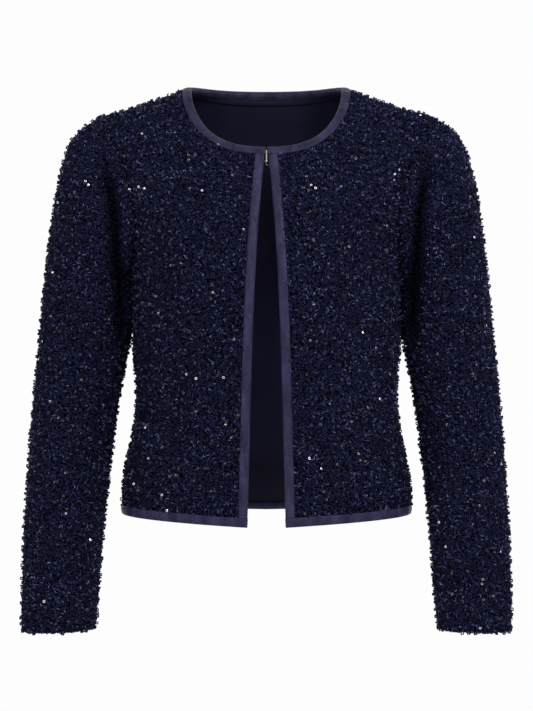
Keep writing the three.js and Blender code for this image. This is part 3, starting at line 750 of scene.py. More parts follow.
GROUND_DARK = (0.0005, 0.0006, 0.0020)
GROUND_MIDDLE = (0.0045, 0.0050, 0.0150)
GROUND_LIGHT = (0.0260, 0.0280, 0.0800)
# The ground's tone deep in the sleeve's crease: painted shade.
GROUND_CREASE_SHADE = 0.05
YARN_DARK = (0.0016, 0.0018, 0.0065)
YARN_MIDDLE = (0.0085, 0.0094, 0.0285)
YARN_LIGHT = (0.0510, 0.0555, 0.1430)
YARN_PALE = (0.1100, 0.1150, 0.2300)
# Sequin tones from dark bronze to silver; the brightest stand for painted glints.
SEQUIN_TONES = (
    (0.0, (0.020, 0.019, 0.026)),
    (0.35, (0.090, 0.078, 0.080)),
    (0.7, (0.28, 0.26, 0.27)),
    (1.0, (0.90, 0.89, 0.94)),
)
SATIN_DARK = (0.0128, 0.0122, 0.0325)
SATIN_MIDDLE = (0.0215, 0.0205, 0.0510)
SATIN_LIGHT = (0.0330, 0.0312, 0.0740)
LINING_DARK = (0.0082, 0.0078, 0.0210)
LINING_LIGHT = (0.0118, 0.0112, 0.0290)
THREAD_DARK = (0.0040, 0.0040, 0.0110)
THREAD_LIGHT = (0.0090, 0.0085, 0.0220)
BRASS_DARK = (0.30, 0.25, 0.16)
BRASS_LIGHT = (0.58, 0.50, 0.35)

# Painted light and shade on the lining, by the share of the way down to its foot, a height in
# metres: dimmer below the neck and lighter lower down, where light comes in at the open front.
LINING_FOOT = -0.5
LINING_LIGHT_AND_SHADE = (
    (0.07, 0.84),
    (0.11, 1.00),
    (0.20, 0.52),
    (0.28, 0.58),
    (0.40, 1.90),
    (0.48, 2.90),
    (0.61, 3.20),
    (0.72, 1.80),
    (0.79, 1.40),
    (0.86, 0.68),
    (0.93, 0.80),
)


class Surface:
    """A material in the making: its nodes, its links and its shader."""

    def __init__(self, name):
        self.material = bpy.data.materials.new(name)
        self.material.use_nodes = True
        self.nodes = self.material.node_tree.nodes
        self.links = self.material.node_tree.links
        self.shader = self.nodes["Principled BSDF"]

    def node(self, kind, wires, **values):
        """A node with the given inputs wired and the other values set."""
        node = self.nodes.new("ShaderNode" + kind)
        for name, value in values.items():
            node.inputs[name].default_value = value
        for name, source in wires.items():
            self.links.new(source, node.inputs[name])
        return node

    def noise(self, scale, detail, roughness=0.6, stretch=(1, 1, 1), turn=(0, 0, 0)):
        """Noise in the object's own metres, scaled in cycles to a metre."""
        where = self.node("TexCoord", {}).outputs["Object"]
        placing = self.node("Mapping", {"Vector": where}, Scale=stretch, Rotation=turn)
        at = {"Vector": placing.outputs["Vector"]}
        noise = self.node("TexNoise", at, Scale=scale, Detail=detail, Roughness=roughness)
        return noise.outputs["Fac"]

    def carried(self, name):
        """A value that the mesh carries at its points."""
        node = self.node("Attribute", {})
        node.attribute_name = name
        return node.outputs["Fac"]

    def down(self, foot):
        """The share of the way down from the origin to a height in metres."""
        place = self.node("NewGeometry", {}).outputs["Position"]
        height = self.node("SeparateXYZ", {"Vector": place}).outputs["Z"]
        limits = {"From Min": 0, "From Max": foot, "To Min": 0, "To Max": 1}
        return self.node("MapRange", {"Value": height}, **limits).outputs["Result"]

    def ramp(self, source, *stops):
        """Colours by value."""
        ramp = self.node("ValToRGB", {"Fac": source})
        elements = ramp.color_ramp.elements
        while len(elements) < len(stops):
            elements.new(0.5)
        for element, (place, colour) in zip(elements, stops):
            element.position = place
            element.color = (*np.broadcast_to(colour, 3), 1)
        return ramp.outputs["Color"]

    def times(self, first, second):
        """One colour multiplied by another."""
        node = self.nodes.new("ShaderNodeMix")
        node.data_type = "RGBA"
        node.blend_type = "MULTIPLY"
        node.inputs["Factor"].default_value = 1.0
        self.links.new(first, node.inputs["A"])
        self.links.new(second, node.inputs["B"])
        return node.outputs["Result"]

    def bump(self, height, distance, onto=None):
        """A normal raised by a height, over another normal where one is given."""
        wires = {"Height": height} if onto is None else {"Height": height, "Normal": onto}
        return self.node("Bump", wires, Distance=distance, Strength=1.0).outputs["Normal"]

    def finished(self, values, **wires):
        """The material, with its shader's values set and its other inputs wired."""
        for name, value in values.items():
            self.shader.inputs[name].default_value = value
        for name, source in wires.items():
            self.links.new(source, self.shader.inputs[name.replace("_", " ")])
        return self.material


def ground_material():
    """The woven ground between the loops: near black, with fine navy yarn and dark gaps, and
    painted shade deep in the sleeve's crease.
    """
    made = Surface("boucle_ground")
    yarn = made.noise(330, 3, 0.6)
    colours = made.ramp(
        yarn,
        (0.40, GROUND_DARK),
        (0.46, GROUND_MIDDLE),
        (0.50, GROUND_LIGHT),
        (0.54, GROUND_MIDDLE),
        (0.60, GROUND_DARK),
    )
    # Painted shade in the crease, from the depth that each point carries.
    shadow = made.ramp(made.carried("crease"), (0, 1), (1, GROUND_CREASE_SHADE))
    strand = made.ramp(yarn, (0.38, 0), (0.5, 1), (0.62, 0))
    values = {"Roughness": 0.95, "Specular IOR Level": 0.01}
    relief = made.bump(strand, 0.0012)
    return made.finished(values, Base_Color=made.times(colours, shadow), Normal=relief)


def yarn_material():
    """The curled loops, each with the shade it carries: its own tone, with painted shade in the
    sleeve's crease, and finer light and dark along them.
    """
    made = Surface("boucle_yarn")
    tones = ((0.0, YARN_DARK), (0.4, YARN_MIDDLE), (0.75, YARN_LIGHT), (1.0, YARN_PALE))
    colours = made.ramp(made.carried("shade"), *tones)
    fibre = made.noise(1500, 2, 0.6)
    spread = made.ramp(fibre, (0.3, 0.35), (0.7, 1.5))
    values = {
        "Roughness": 0.6,
        "Specular IOR Level": 0.06,
        "Sheen Weight": 0.02,
        "Sheen Roughness": 0.4,
        "Sheen Tint": (0.45, 0.5, 1.0, 1),
    }
    relief = made.bump(fibre, 0.0005)
    return made.finished(values, Base_Color=made.times(colours, spread), Normal=relief)


def sequin_material():
    """Sequins from dark to mirror bright, by the shade each carries: their own bronze and silver
    tones, with painted glints on a few and the rest dimmed.
    """
    made = Surface("sequin")
    colours = made.ramp(made.carried("shade"), *SEQUIN_TONES)
    relief = made.bump(made.noise(900, 2), 0.0001)
    values = {"Metallic": 0.9, "Roughness": 0.2}
    return made.finished(values, Base_Color=colours, Normal=relief)


def satin_material(name, turn, shade):
    """Bias-cut satin: fine threads on the diagonal, soft ripples and a low gloss."""
    made = Surface(name)
    threads = made.noise(900, 2, 0.5, (1, 1, 0.12), turn)
    ripples = made.noise(95, 2, 0.5, (1, 1, 0.35), turn)
    colours = made.ramp(ripples, (0.3, SATIN_DARK), (0.52, SATIN_MIDDLE), (0.74, SATIN_LIGHT))
    # The shade sets the band's brightness: painted light and shade.
    spread = made.ramp(threads, (0.3, 0.78 * shade), (0.7, 1.2 * shade))
    relief = made.bump(threads, 0.00015, made.bump(ripples, 0.0026))
    values = {
        "Roughness": 0.42,
        "Specular IOR Level": 0.07,
        "Sheen Weight": 0.02,
        "Sheen Tint": (0.6, 0.6, 1.0, 1),
    }
    return made.finished(values, Base_Color=made.times(colours, spread), Normal=relief)


def lining_material():
    """Smooth lining cloth with a fine twill, with painted shade and painted light by its height.
    """
    made = Surface("lining")
    twill = made.noise(1300, 2, 0.5, (1, 1, 0.3), (0, 0.6, 0))
    drape = made.noise(16, 2, 0.5, (1, 1, 0.3))
    colours = made.ramp(drape, (0.32, LINING_DARK), (0.68, LINING_LIGHT))
    # Painted light and shade, by the height.
    painted_light_and_shade = made.ramp(made.down(LINING_FOOT), *LINING_LIGHT_AND_SHADE)
    relief = made.bump(twill, 0.0001, made.bump(drape, 0.004))
    values = {"Roughness": 0.5, "Specular IOR Level": 0.05}
    return made.finished(values, Base_Color=made.times(colours, painted_light_and_shade), Normal=relief)


def thread_material():
    """The dark sewing thread of the stitches."""
    made = Surface("thread")
    colours = made.ramp(made.noise(2500, 1), (0.3, THREAD_DARK), (0.7, THREAD_LIGHT))
    return made.finished({"Roughness": 0.6}, Base_Color=colours)


def brass_material():
    """Pale brass with slight wear."""
    made = Surface("pale_brass")
    wear = made.noise(700, 3)
    colours = made.ramp(wear, (0.3, BRASS_DARK), (0.7, BRASS_LIGHT))
    values = {"Metallic": 1.0, "Roughness": 0.3}
    return made.finished(values, Base_Color=colours, Normal=made.bump(wear, 0.00006))


GROUND = ground_material()
YARN = yarn_material()
SEQUIN = sequin_material()
# The three bands are one satin; the last value sets each copy's brightness band by band, painted
# light and shade on copies of one material.
SATIN_NECK = satin_material("satin_neck", (0.5, 0.0, 0.6), 0.8)
SATIN_FRONT = satin_material("satin_front", (0.0, 0.75, 0.0), 0.9)
SATIN_HEM = satin_material("satin_hem", (0.3, 0.9, 0.4), 0.84)
LINING_CLOTH = lining_material()
THREAD = thread_material()
PALE_BRASS = brass_material()


# Panels, sleeves and lining


def cloth_wall(name, grid, side, **options):
    """A wall of boucle with the lining's cloth inside, from its outer points and directions."""
    outer, through = grid
    inner = outer - through * CLOTH
    return wall_object(name, outer, inner, [GROUND, LINING_CLOTH], side, **options)


def make_back():
    """The back, from its two halves welded down the middle."""
    to_neck = ROWS_BELOW_ARM + round(BACK_NECK_SHARE * ROWS_BY_ARM)
    grids, halves, linings = {}, [], []
    for side in (LEFT, RIGHT):
        outer, through = grids[side] = panel_grid(BACK, side)
        options = {"side": side, "turned": True, "open_rows": to_neck}
        halves.append(cloth_wall("half", grids[side], **options))
        near = outer - through * (CLOTH + LINING_GAP)
        far = near - through * LINING
        near, far = lining_inset(near, to_neck), lining_inset(far, to_neck)
        linings.append(wall_object("half", near, far, [LINING_CLOTH, LINING_CLOTH], **options))
    back = merge_pieces("back_cloth", halves, WELD)
    lining = merge_pieces("back_lining", linings, WELD)
    return back, lining, grids


def lining_inset(points, to_neck):
    """Pulls the lining's edges in from the seams, the hem and the neck."""
    out = points.copy()

    def pull(v, nxt):
        step = nxt - v
        reach = np.linalg.norm(step, axis=-1, keepdims=True)
        return v + step * np.minimum(INSET_SHARE, LINING_INSET / np.maximum(reach, 1e-6))

    out[:, -1] = pull(out[:, -1], out[:, -2])
    out[to_neck + 1 :, 0] = pull(out[to_neck + 1 :, 0], out[to_neck + 1 :, 1])
    out[0] = pull(out[0], out[1])
    out[-1] = pull(out[-1], out[-2])
    return out


# Bindings


def stations(points):
    """Edge points with the directions into the cloth, for an edge with the cloth on its right."""
    after = np.concatenate([points[1:], points[-1:]])
    before = np.concatenate([points[:1], points[:-1]])
    return points, unit(np.cross(after - before, body_normal(points)))


def flip(points):
    """The same points on the other side of the body."""
    return points * np.array([-1, 1, 1])


def round_body(front, back):
    """A line along the left front, round the back and along the right front."""
    return np.concatenate([front[:-1], back, flip(front[:-1])[::-1]])


def neck_points(steps, back_steps):
    """The neck edge, from the left front round the back to the right."""
    x = NECK_HALF_WIDTH * np.cos(np.pi * fractions(ROW_SAMPLES))
    back = even(body_point(BACK, x, back_neck_z(x)), fractions(back_steps))
    return round_body(front_neck_points(float(front_gap(FRONT_NECK_Z)), steps), back)


def hem_points(steps, back_steps):
    """The hem edge, from the right front round the back to the left."""
    across = np.sin(np.pi / 2 * fractions(ROW_SAMPLES))
    x = mix(float(front_gap(HEM_FRONT_Z)), HEM_HALF_WIDTH, across)
    front = even(body_point(FRONT, x, hem_z(FRONT, x)), fractions(steps))
    x = HEM_HALF_WIDTH * np.cos(np.pi * fractions(ROW_SAMPLES))
    back = even(body_point(BACK, x, hem_z(BACK, x)), fractions(back_steps))
    return round_body(front, back)[::-1]


def front_band_points(steps):
    """The left front edge, between the bands of the hem and the neck."""
    z = mix(HEM_FRONT_Z + BAND_OUTSIDE - 0.6, FRONT_NECK_Z - BAND_OUTSIDE + 0.8, fractions(steps))
    return body_point(FRONT, cloth_edge(z), z)


def depth_under(p):
    """How far below the cloth's outer surface an inner leg lies: more where there is a lining."""
    lined = smoothstep((p[:, 1] - LINED_FROM_Y) / -LINED_FROM_Y)
    return CLOTH + UNDER + lined * (LINING_GAP + LINING)


def waves_along(run, seed):
    """Soft waves of a sewn strip, by the length along it."""
    rng = np.random.default_rng(seed)
    wave = np.zeros(len(run))
    for height, length in BAND_WAVES:
        wave += height * np.sin(2 * np.pi * run / length + rng.uniform(0, 2 * np.pi))
    return wave


def binding_shape(points, inside, seed):
    """Outer points of a satin strip folded over an edge: outer leg, round fold and inner leg."""
    p, into = stations(points)
    depth = depth_under(p)
    top = OVER + SATIN
    wave = waves_along(run_along(p), seed)
    # Distance into the cloth, height over it, and the share of the waves there.
    section = [
        (BAND_OUTSIDE, 0.2, 0),
        (BAND_OUTSIDE - 0.3, top * 0.8, 0.2),
        (BAND_OUTSIDE - 1.3, top + 0.15, 0.6),
        (BAND_OUTSIDE * 0.62, top + 0.35, 1),
        (BAND_OUTSIDE * 0.32, top + 0.25, 1),
        (1.0, top, 0.6),
        (-OVERHANG * 0.55, top * 0.7, 0.3),
        (-OVERHANG, 0, 0),
        (-OVERHANG, -0.6 * depth, 0),
        (-OVERHANG * 0.5, -depth - SATIN * 0.6, 0),
        (1.6, -depth - SATIN, 0.3),
        (inside * 0.4, -depth - SATIN * 1.9, 0.8),
        (inside * 0.62, -depth - SATIN * 1.1, 0.8),
        (inside - 0.4, -depth - SATIN, 0.4),
        (inside, -depth - SATIN * 0.2, 0),
    ]
    shape = []
    for distance, height, share in section:
        q = p + into * distance
        if distance > 0:
            q = onto_body(q)
        n = body_normal(q)
        shape.append(q + n * (height + share * wave)[:, None])
    return np.stack(shape, 1)


def binding_object(name, points, material, side, inside, seed):
    """A folded strip with closed ends."""
    outer = binding_shape(points, inside, seed)
    facing = unit(np.cross(np.gradient(outer, axis=1), np.gradient(outer, axis=0)))
    if np.mean(np.sum(facing[:, 3] * body_normal(points), -1)) < 0:
        facing = -facing
    return strip_object(name, outer, outer - facing * SATIN * 0.8, material, side)


def facing_object(name, points, material):
    """The cloth facing below the neck band's inner leg."""
    p, into = stations(points)
    depth = depth_under(p)
    outer, inner = [], []
    for distance, rise in ((FACING_TOP, 0.3), (FACING_FOOT - 1, 0.7), (FACING_FOOT, 0.3)):
        q = onto_body(p + into * distance)
        n = body_normal(q)
        outer.append(q - n * (depth + rise)[:, None])
        inner.append(q - n * (depth - 0.2)[:, None])
    return strip_object(name, np.stack(outer, 1), np.stack(inner, 1), material, LEFT)


def stitches_object(name, points, distance):
    """A row of stitches along the neck band's inner leg."""
    p, into = stations(points)
    depth = depth_under(p) + SATIN * 1.2
    q = onto_body(p + into * distance)
    row = q - body_normal(q) * depth[:, None]
    run = run_along(row)
    first = np.arange(1, run[-1] / STITCH_PITCH - 1) * STITCH_PITCH
    at = first[:, None] + STITCH_PITCH * np.array([0, 0.3, 0.6])
    path = np.stack([np.interp(at, run, row[:, k]) for k in range(3)], -1)
    up = np.broadcast_to(UP, (len(path), 3))
    tube, quads = tubes(path, up, np.full(len(path), STITCH_RADIUS))
    return new_object(name, tube, quads, np.zeros(len(quads)), [THREAD])


def bar_object(name, profile, sides):
    """The hook's upright bar, which stands in front of the eye between the bands."""
    turn = 2 * np.pi * np.arange(sides) / sides
    z, r = profile["z"][:, None], profile["radius"][:, None]
    front = body_point(FRONT, np.zeros(len(profile["z"])), profile["z"])[:, 1:2] - BAR_PROUD
    points = np.stack([r * np.cos(turn), front + r * np.sin(turn), z + 0 * turn], -1)
    quads = grid_quads(len(z), sides, wrap=True)
    obj = new_object(name, points.reshape(-1, 3), quads, np.zeros(len(quads)), [PALE_BRASS])
    face_out(obj)
    return obj


def strip_object(name, outer, inner, material, side):
    """A closed strip from its outer and inner points, with a flat face over each end."""
    obj = wall_object(name, outer, inner, [material], side)
    face_out(obj)
    caps = []
    for end, toward in ((0, 1), (-1, -2)):
        face = mix(outer[end], outer[toward], 0.1)
        around = [list(range(outer.shape[1]))]
        caps.append(new_object(name + "_end", face, around, [0], [material], side, False))
    return merge_pieces(name, [obj, *caps])


def face_out(obj):
    """Turns a closed mesh's faces outwards."""
    bm = bmesh.new()
    bm.from_mesh(obj.data)
    bmesh.ops.recalc_face_normals(bm, faces=bm.faces)
    bm.to_mesh(obj.data)
    bm.free()


# Loops of yarn and sequins


def scatter(outer, through, per_mm2, rng, wrap):
    """Random points of a grid's surface, even by area, with the directions through the cloth."""
    if wrap:
        outer = np.concatenate([outer, outer[:, :1]], axis=1)
        through = np.concatenate([through, through[:, :1]], axis=1)

    def corners(grid):
        parts = (grid[:-1, :-1], grid[:-1, 1:], grid[1:, 1:], grid[1:, :-1])
        return [part.reshape(-1, 3) for part in parts]

    a, b, c, d = corners(outer)
    run = np.cumsum(0.5 * np.linalg.norm(np.cross(c - a, d - b), axis=-1))
    count = int(run[-1] * per_mm2)
    cell = np.searchsorted(run, (np.arange(count) + rng.random(count)) / count * run[-1])
    cell = np.minimum(cell, len(run) - 1)
    u, v = rng.random((2, count, 1))

    def at(grid):
        a, b, c, d = (part[cell] for part in corners(grid))
        return mix(mix(a, b, u), mix(d, c, u), v)

    return at(outer), unit(at(through))


def bound_edges():
    """The bound edges, for keeping the loops off the bindings."""
    left = np.concatenate([front_band_points(500), neck_points(300, 400), hem_points(300, 500)])
    return np.concatenate([left, flip(left)])


def search_tree(points):
    """A tree that finds the nearest of the given points."""
    tree = kdtree.KDTree(len(points))
    for k, p in enumerate(points):
        tree.insert(p, k)
    tree.balance()
    return tree


def clumps(points, length, seed):
    """A smooth random value in space, about -1 to 1, with hills about the given length apart."""
    rng = np.random.default_rng(seed)
    total = np.zeros(len(points))
    for _ in range(CLUMP_WAVES):
        way = unit(rng.normal(size=3)) * 2 * np.pi / (length * rng.uniform(0.75, 1.35))
        total += np.cos(points @ way + rng.uniform(0, 2 * np.pi))
    return total / math.sqrt(CLUMP_WAVES / 2)


def spaced_out(points, order, spacing):
    """Picks points in the given order, none nearer than the spacing to one picked before."""
    cells, picked = {}, np.zeros(len(points), bool)
    keys = np.floor(points / spacing).astype(int)
    around = [(a, b, c) for a in (-1, 0, 1) for b in (-1, 0, 1) for c in (-1, 0, 1)]
    for k in order:
        x, y, z = keys[k]
        p = points[k]
        near = (cells.get((x + a, y + b, z + c)) for a, b, c in around)
        if all(q is None or np.dot(q - p, q - p) > spacing * spacing for q in near):
            cells[(x, y, z)] = p
            picked[k] = True
    return picked


def clear_of_bindings(points, reach):
    """Which points lie farther from every bound edge than the reach."""
    return np.array([EDGES.find(p)[2] > reach for p in points])


def local_frames(normal, rng):
    """Two directions in the cloth, turned at random, for each normal."""
    turn = rng.random(len(normal)) * 2 * np.pi
    ref = np.where(np.abs(normal[:, 2:3]) < 0.8, [[0, 0, 1.0]], [[1.0, 0, 0]])
    a = unit(np.cross(normal, ref))
    b = np.cross(normal, a)
    u = a * np.cos(turn)[:, None] + b * np.sin(turn)[:, None]
    return u, np.cross(normal, u)


def tubes(points, across, radius):
    """Thin tubes along paths of points, each path with a direction across it and a radius."""
    count, steps = points.shape[:2]
    t = unit(np.gradient(points, axis=1))
    side = unit(across[:, None] - np.sum(across[:, None] * t, -1, keepdims=True) * t)
    up = np.cross(t, side)
    turn = (2 * np.pi * np.arange(TUBE_SIDES) / TUBE_SIDES)[:, None]
    ring = side[:, :, None] * np.cos(turn) + up[:, :, None] * np.sin(turn)
    verts = points[:, :, None] + ring * radius[:, None, None, None]
    k, s, c = np.meshgrid(
        np.arange(count), np.arange(steps - 1), np.arange(TUBE_SIDES), indexing="ij"
    )
    here = (k * steps + s) * TUBE_SIDES
    after = here + TUBE_SIDES
    nxt = (c + 1) % TUBE_SIDES
    quads = np.stack([here + c, here + nxt, after + nxt, after + c], -1)
    return verts.reshape(-1, 3), quads.reshape(-1, 4)


def set_shade(obj, values):
    """Writes each point's own shade, for the material."""
    layer = obj.data.attributes.new("shade", "FLOAT", "POINT")
    layer.data.foreach_set("value", np.asarray(values, np.float32))


def cuff_points(outer, rng):
    """Points round a cuff's edge, facing down the sleeve, for the yarn that hangs there."""
    at = rng.uniform(0, outer.shape[1], CUFF_LOOPS)
    k, t = np.floor(at).astype(int), (at % 1)[:, None]
    nxt = (k + 1) % outer.shape[1]
    down = unit(outer[-1] - outer[-3])
    return mix(outer[-1, k], outer[-1, nxt], t), unit(mix(down[k], down[nxt], t))


def loop_sizes(p, rng, seed):
    """Which loops curl, and the half length, height, sway, radius and shade of each."""
    count = len(p)
    hill = clumps(p, CLUMP_LENGTH, seed)
    proud = np.maximum(hill - PROUD_FROM, 0)
    crease = in_crease(p)
    curled = rng.random(count) < CURL_SHARE + CURL_BY_HILL * hill
    half = np.where(curled, rng.uniform(*CURL_HALF, count), rng.uniform(*STROKE_HALF, count))
    curl, stroke = rng.uniform(*CURL_HEIGHT, count), rng.uniform(*STROKE_HEIGHT, count)
    height = np.where(curled, curl, stroke)
    height = height + proud * rng.uniform(*PROUD_RISE, count)
    sway = rng.uniform(-SWAY, SWAY, count)
    radius = rng.uniform(*YARN_RADIUS, count) * (1 + PROUD_SWELL * proud)
    nub = spaced_out(p, np.argsort(-hill + rng.normal(0, NUB_STRAY, count)), NUB_SPACING)
    nub &= (rng.random(count) < NUB_SHARE) & (crease < CREASE_BARE)
    radius = np.where(nub, rng.uniform(*NUB_RADIUS, count), radius)
    half = np.where(nub, rng.uniform(*NUB_HALF, count), half)
    height = np.where(nub, rng.uniform(*NUB_HEIGHT, count), height)
    sway = np.where(nub, sway * NUB_SWAY, sway)
    shade = rng.beta(*SHADE_SPREAD, count) * np.clip(1.0 + SHADE_BY_HILL * hill, 0.4, 1.5)
    shade = np.where(rng.random(count) < PALE_SHARE, rng.uniform(*PALE_SHADE, count), shade)
    shade = np.where(nub, rng.uniform(*NUB_SHADE, count), shade)
    # Deep in the sleeve's crease a loop's shade falls towards nothing: painted shade.
    return curled | nub, half, height, sway, radius, np.clip(shade * (1 - crease), 0, 1)


def loops_object(name, grid, per_mm2, seed, side, wrap, reach):
    """Curled loops of yarn over a panel: short strokes, fuller curls and a few proud knots."""
    rng = np.random.default_rng(seed)
    p, n = scatter(*grid, per_mm2, rng, wrap)
    if wrap:
        edge, down = cuff_points(grid[0], rng)
        p, n = np.concatenate([p, edge]), np.concatenate([n, down])
    if reach:
        keep = clear_of_bindings(p, reach)
        p, n = p[keep], n[keep]
    u, v = local_frames(n, rng)
    curled, half, height, sway, radius, shade = loop_sizes(p, rng, seed)
    verts, faces, shades, total = [], [], [], 0
    for chosen, path in ((curled, CURL_PATH), (~curled, STROKE_PATH)):
        points = p[chosen][:, None]
        for way, size, column in ((u, half, "along"), (v, sway, "across"), (n, height, "over")):
            step = path[column][None, :] * size[chosen][:, None]
            points = points + way[chosen][:, None] * step[..., None]
        tube, quads = tubes(points, v[chosen], radius[chosen])
        verts.append(tube)
        faces.append(quads + total)
        shades.append(np.repeat(shade[chosen], points.shape[1] * TUBE_SIDES))
        total += len(tube)
    faces = np.concatenate(faces)
    obj = new_object(name, np.concatenate(verts), faces, np.zeros(len(faces)), [YARN], side)
    set_shade(obj, np.concatenate(shades))
    return obj


def paint_crease_shade(obj):
    """Writes how deep each point of a cloth lies in the sleeve's crease, for the painted shade
    that its material puts there.
    """
    places = np.empty(len(obj.data.vertices) * 3)
    obj.data.vertices.foreach_get("co", places)
    layer = obj.data.attributes.new("crease", "FLOAT", "POINT")
    layer.data.foreach_set("value", in_crease(places.reshape(-1, 3) / MM).astype(np.float32))


def disc_points(centre, face, across, size):
    """Rings of points on each sequin, from its rim round to the inside of its hole."""
    a = unit(np.cross(across, face))[:, None]
    b = np.cross(face[:, None], a)
    turn = (2 * np.pi * np.arange(SEQUIN_SIDES) / SEQUIN_SIDES)[:, None]
    rings = []
    for radius, rise in zip(SEQUIN_RINGS["radius"], SEQUIN_RINGS["rise"]):
        out = (a * np.cos(turn) + b * np.sin(turn)) * radius + face[:, None] * rise
        rings.append(centre[:, None] + out * size[:, None, None])
    return np.stack(rings, 1)


def disc_quads(count):
    """Faces between the rings of each sequin, round through its hole."""
    rings, sides = len(SEQUIN_RINGS["radius"]), SEQUIN_SIDES
    k, r, s = np.meshgrid(np.arange(count), np.arange(rings), np.arange(sides), indexing="ij")
    here = (k * rings + r) * sides
    below = (k * rings + (r + 1) % rings) * sides
    nxt = (s + 1) % sides
    return np.stack([here + s, here + nxt, below + nxt, below + s], -1).reshape(-1, 4)


def sequins_object(name, grid, per_mm2, seed, side, wrap, reach):
    """Small ringed discs sewn on here and there, some of them in twos and threes."""
    rng = np.random.default_rng(seed)
    p, n = scatter(*grid, per_mm2, rng, wrap)
    again = rng.random(len(p)) < SEQUIN_PAIRS
    u, v = local_frames(n, rng)
    apart = rng.uniform(*SEQUIN_PAIR_APART, (again.sum(), 1))
    p = np.concatenate([p, p[again] + u[again] * apart])
    n = np.concatenate([n, n[again]])
    keep = in_crease(p) < CREASE_BARE
    if reach:
        keep &= clear_of_bindings(p, reach)
    p, n = p[keep], n[keep]
    count = len(p)
    u, v = local_frames(n, rng)
    tilt = rng.uniform(0, SEQUIN_TILT, count)[:, None]
    face = unit(n * np.cos(tilt) + u * np.sin(tilt))
    centre = p + n * rng.uniform(*SEQUIN_RISE, (count, 1))
    verts = disc_points(centre, face, v, rng.uniform(*SEQUIN_SIZES, count))
    faces = disc_quads(count)
    flat = verts.reshape(-1, 3)
    obj = new_object(name, flat, faces, np.zeros(len(faces)), [SEQUIN], side, False)
    # A few sequins get painted glints, the rest dull tones.
    bright = rng.random(count) < SEQUIN_GLINT_SHARE
    lit = rng.uniform(*SEQUIN_GLINT_SHADE, count)
    dull = rng.beta(*SEQUIN_DULL_SPREAD, count) * SEQUIN_DULL_TOP
    set_shade(obj, np.repeat(np.where(bright, lit, dull), verts.shape[1] * SEQUIN_SIDES))
    return obj


# Camera, light and floor


def aim_light(name, place, target, size, power):
    """A round soft light that faces its target."""
    lamp = bpy.data.lights.new(name, "AREA")
    lamp.shape = "DISK"
    lamp.size = size
    lamp.energy = power
    obj = bpy.data.objects.new(name, lamp)
    obj.location = place
    obj.rotation_euler = (Vector(target) - Vector(place)).to_track_quat("-Z", "Y").to_euler()
    bpy.context.scene.collection.objects.link(obj)


def level_camera():
    """The camera, level and square to the front."""
    camera = bpy.data.cameras.new("camera")
    camera.sensor_width = CAMERA_SENSOR
    camera.lens = CAMERA_LENS
    camera.clip_end = CAMERA_CLIP_END
    obj = bpy.data.objects.new("camera", camera)
    obj.location = CAMERA_PLACE
    obj.rotation_euler = (math.pi / 2, 0, 0)
    bpy.context.scene.collection.objects.link(obj)
    return obj


def studio():
    """The camera, the white surroundings, the lights and the floor."""
    scene = bpy.context.scene
    scene.camera = level_camera()
    scene.view_settings.view_transform = "Standard"
    world = bpy.data.worlds.new("studio")
    world.use_nodes = True
    ground = world.node_tree.nodes["Background"]
    ground.inputs["Color"].default_value = STUDIO_WHITE
    ground.inputs["Strength"].default_value = 1.0
    scene.world = world
    for name, place, target, size, power in STUDIO_LIGHTS:
        aim_light(name, place, target, size, power)
    glow = {"Base Color": (0, 0, 0, 1), "Specular IOR Level": 0, "Emission Strength": 1.0}
    white = Surface("studio_floor").finished({**glow, "Emission Color": STUDIO_WHITE})
    ways = ((-1, -1), (1, -1), (1, 1), (-1, 1))
    corners = [(x * FLOOR_HALF, y * FLOOR_HALF, FLOOR_Z) for x, y in ways]
    floor = new_object("studio_floor", corners, [[0, 1, 2, 3]], [0], [white], LEFT, False)


# Assembly


def add(piece, slot, *nodes):
    """A piece of the garment, attached to the root, and the solids that it stands for, which are
    hidden. The slot is not used.
    """
    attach(piece, "root")
    if nodes:
        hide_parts(*nodes)
    return piece


def dress(node, material):
    """Gives a solid its finished material."""
    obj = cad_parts[node]
    obj.data.materials.clear()
    obj.data.materials.append(material)


studio()

front_grids = {side: panel_grid(FRONT, side) for side in (LEFT, RIGHT)}
sleeve_grids = {side: sleeve_grid(side) for side in (LEFT, RIGHT)}
front_left = cloth_wall("front_left_cloth", front_grids[LEFT], LEFT)
front_right = cloth_wall("front_right_cloth", front_grids[RIGHT], RIGHT)
back, back_lining, back_grids = make_back()
sleeve_left = cloth_wall("sleeve_left_cloth", sleeve_grids[LEFT], LEFT, wrap=True)
sleeve_right = cloth_wall("sleeve_right_cloth", sleeve_grids[RIGHT], RIGHT, wrap=True)

# Each cloth carries the crease's depth, for its painted shade.
for cloth in (front_left, front_right, back, sleeve_left, sleeve_right):
    paint_crease_shade(cloth)

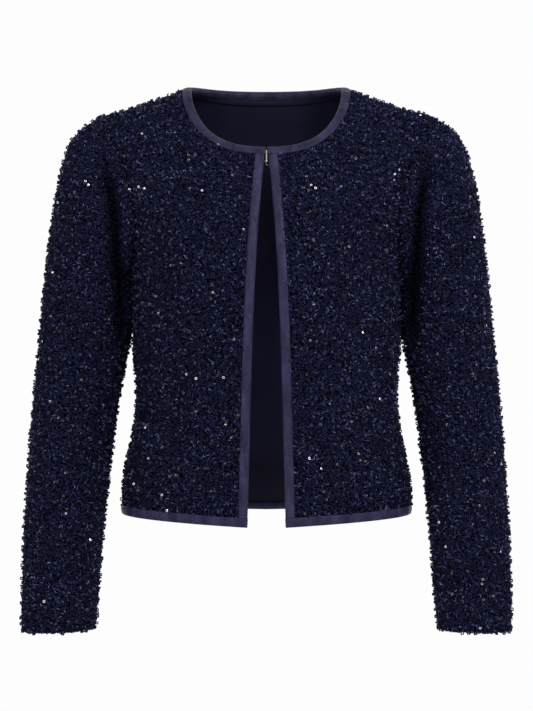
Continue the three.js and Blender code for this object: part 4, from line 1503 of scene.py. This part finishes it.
neck_line = neck_points(90, 130)
hem_line = hem_points(100, 200)
front_line = front_band_points(220)
neck_band = binding_object("neck_band", neck_line, SATIN_NECK, LEFT, NECK_BAND_INSIDE, 3)
hem_band = binding_object("hem_band", hem_line, SATIN_HEM, LEFT, BAND_INSIDE, 4)
band_left = binding_object("front_band_left", front_line, SATIN_FRONT, LEFT, BAND_INSIDE, 5)
band_right = binding_object("front_band_right", front_line, SATIN_FRONT, RIGHT, BAND_INSIDE, 6)

EDGES = search_tree(bound_edges())
PAST_BAND = BAND_OUTSIDE - 0.7

# Panels with a pile: name, grid, loops to a square mm, side, whether round, and the clear edge.
PILES = (
    ("front_left", front_grids[LEFT], LOOPS_PER_MM2, LEFT, False, PAST_BAND),
    ("front_right", front_grids[RIGHT], LOOPS_PER_MM2, RIGHT, False, PAST_BAND),
    ("sleeve_left", sleeve_grids[LEFT], LOOPS_PER_MM2, LEFT, True, 0),
    ("sleeve_right", sleeve_grids[RIGHT], LOOPS_PER_MM2, RIGHT, True, 0),
    ("back_left", back_grids[LEFT], BACK_LOOPS_PER_MM2, LEFT, False, PAST_BAND),
    ("back_right", back_grids[RIGHT], BACK_LOOPS_PER_MM2, RIGHT, False, PAST_BAND),
)
LOOPS_SEED, SEQUINS_SEED = 11, 21
loops, sequins = {}, {}
for k, (name, grid, per_mm2, side, wrap, reach) in enumerate(PILES):
    loops[name] = loops_object("loops_" + name, grid, per_mm2, LOOPS_SEED + k, side, wrap, reach)
for k, (name, grid, _, side, wrap, reach) in enumerate(PILES):
    sequins[name] = sequins_object(
        "sequins_" + name, grid, SEQUINS_PER_MM2, SEQUINS_SEED + k, side, wrap, reach
    )
for piece in (*loops.values(), *sequins.values()):
    add(piece, "boucle")

add(front_left, "boucle", "front_left")
add(front_right, "boucle", "front_right")
add(back, "boucle", "back")
add(back_lining, "lining", "lining_back")
add(sleeve_left, "boucle", "sleeve_left")
add(sleeve_right, "boucle", "sleeve_right")
add(neck_band, "satin", "neck_binding")
add(hem_band, "satin", "hem_binding")
add(band_left, "satin", "front_binding_left")
add(band_right, "satin", "front_binding_right")

facing = facing_object("neck_facing", neck_line, LINING_CLOTH)
stitches = stitches_object("neck_stitches", neck_points(200, 300), NECK_BAND_INSIDE - 0.9)
add(facing, "lining")
add(stitches, "satin")
add(bar_object("hook_bar", BAR, BAR_SIDES), "metal")
dress("hook", PALE_BRASS)
dress("eye", PALE_BRASS)
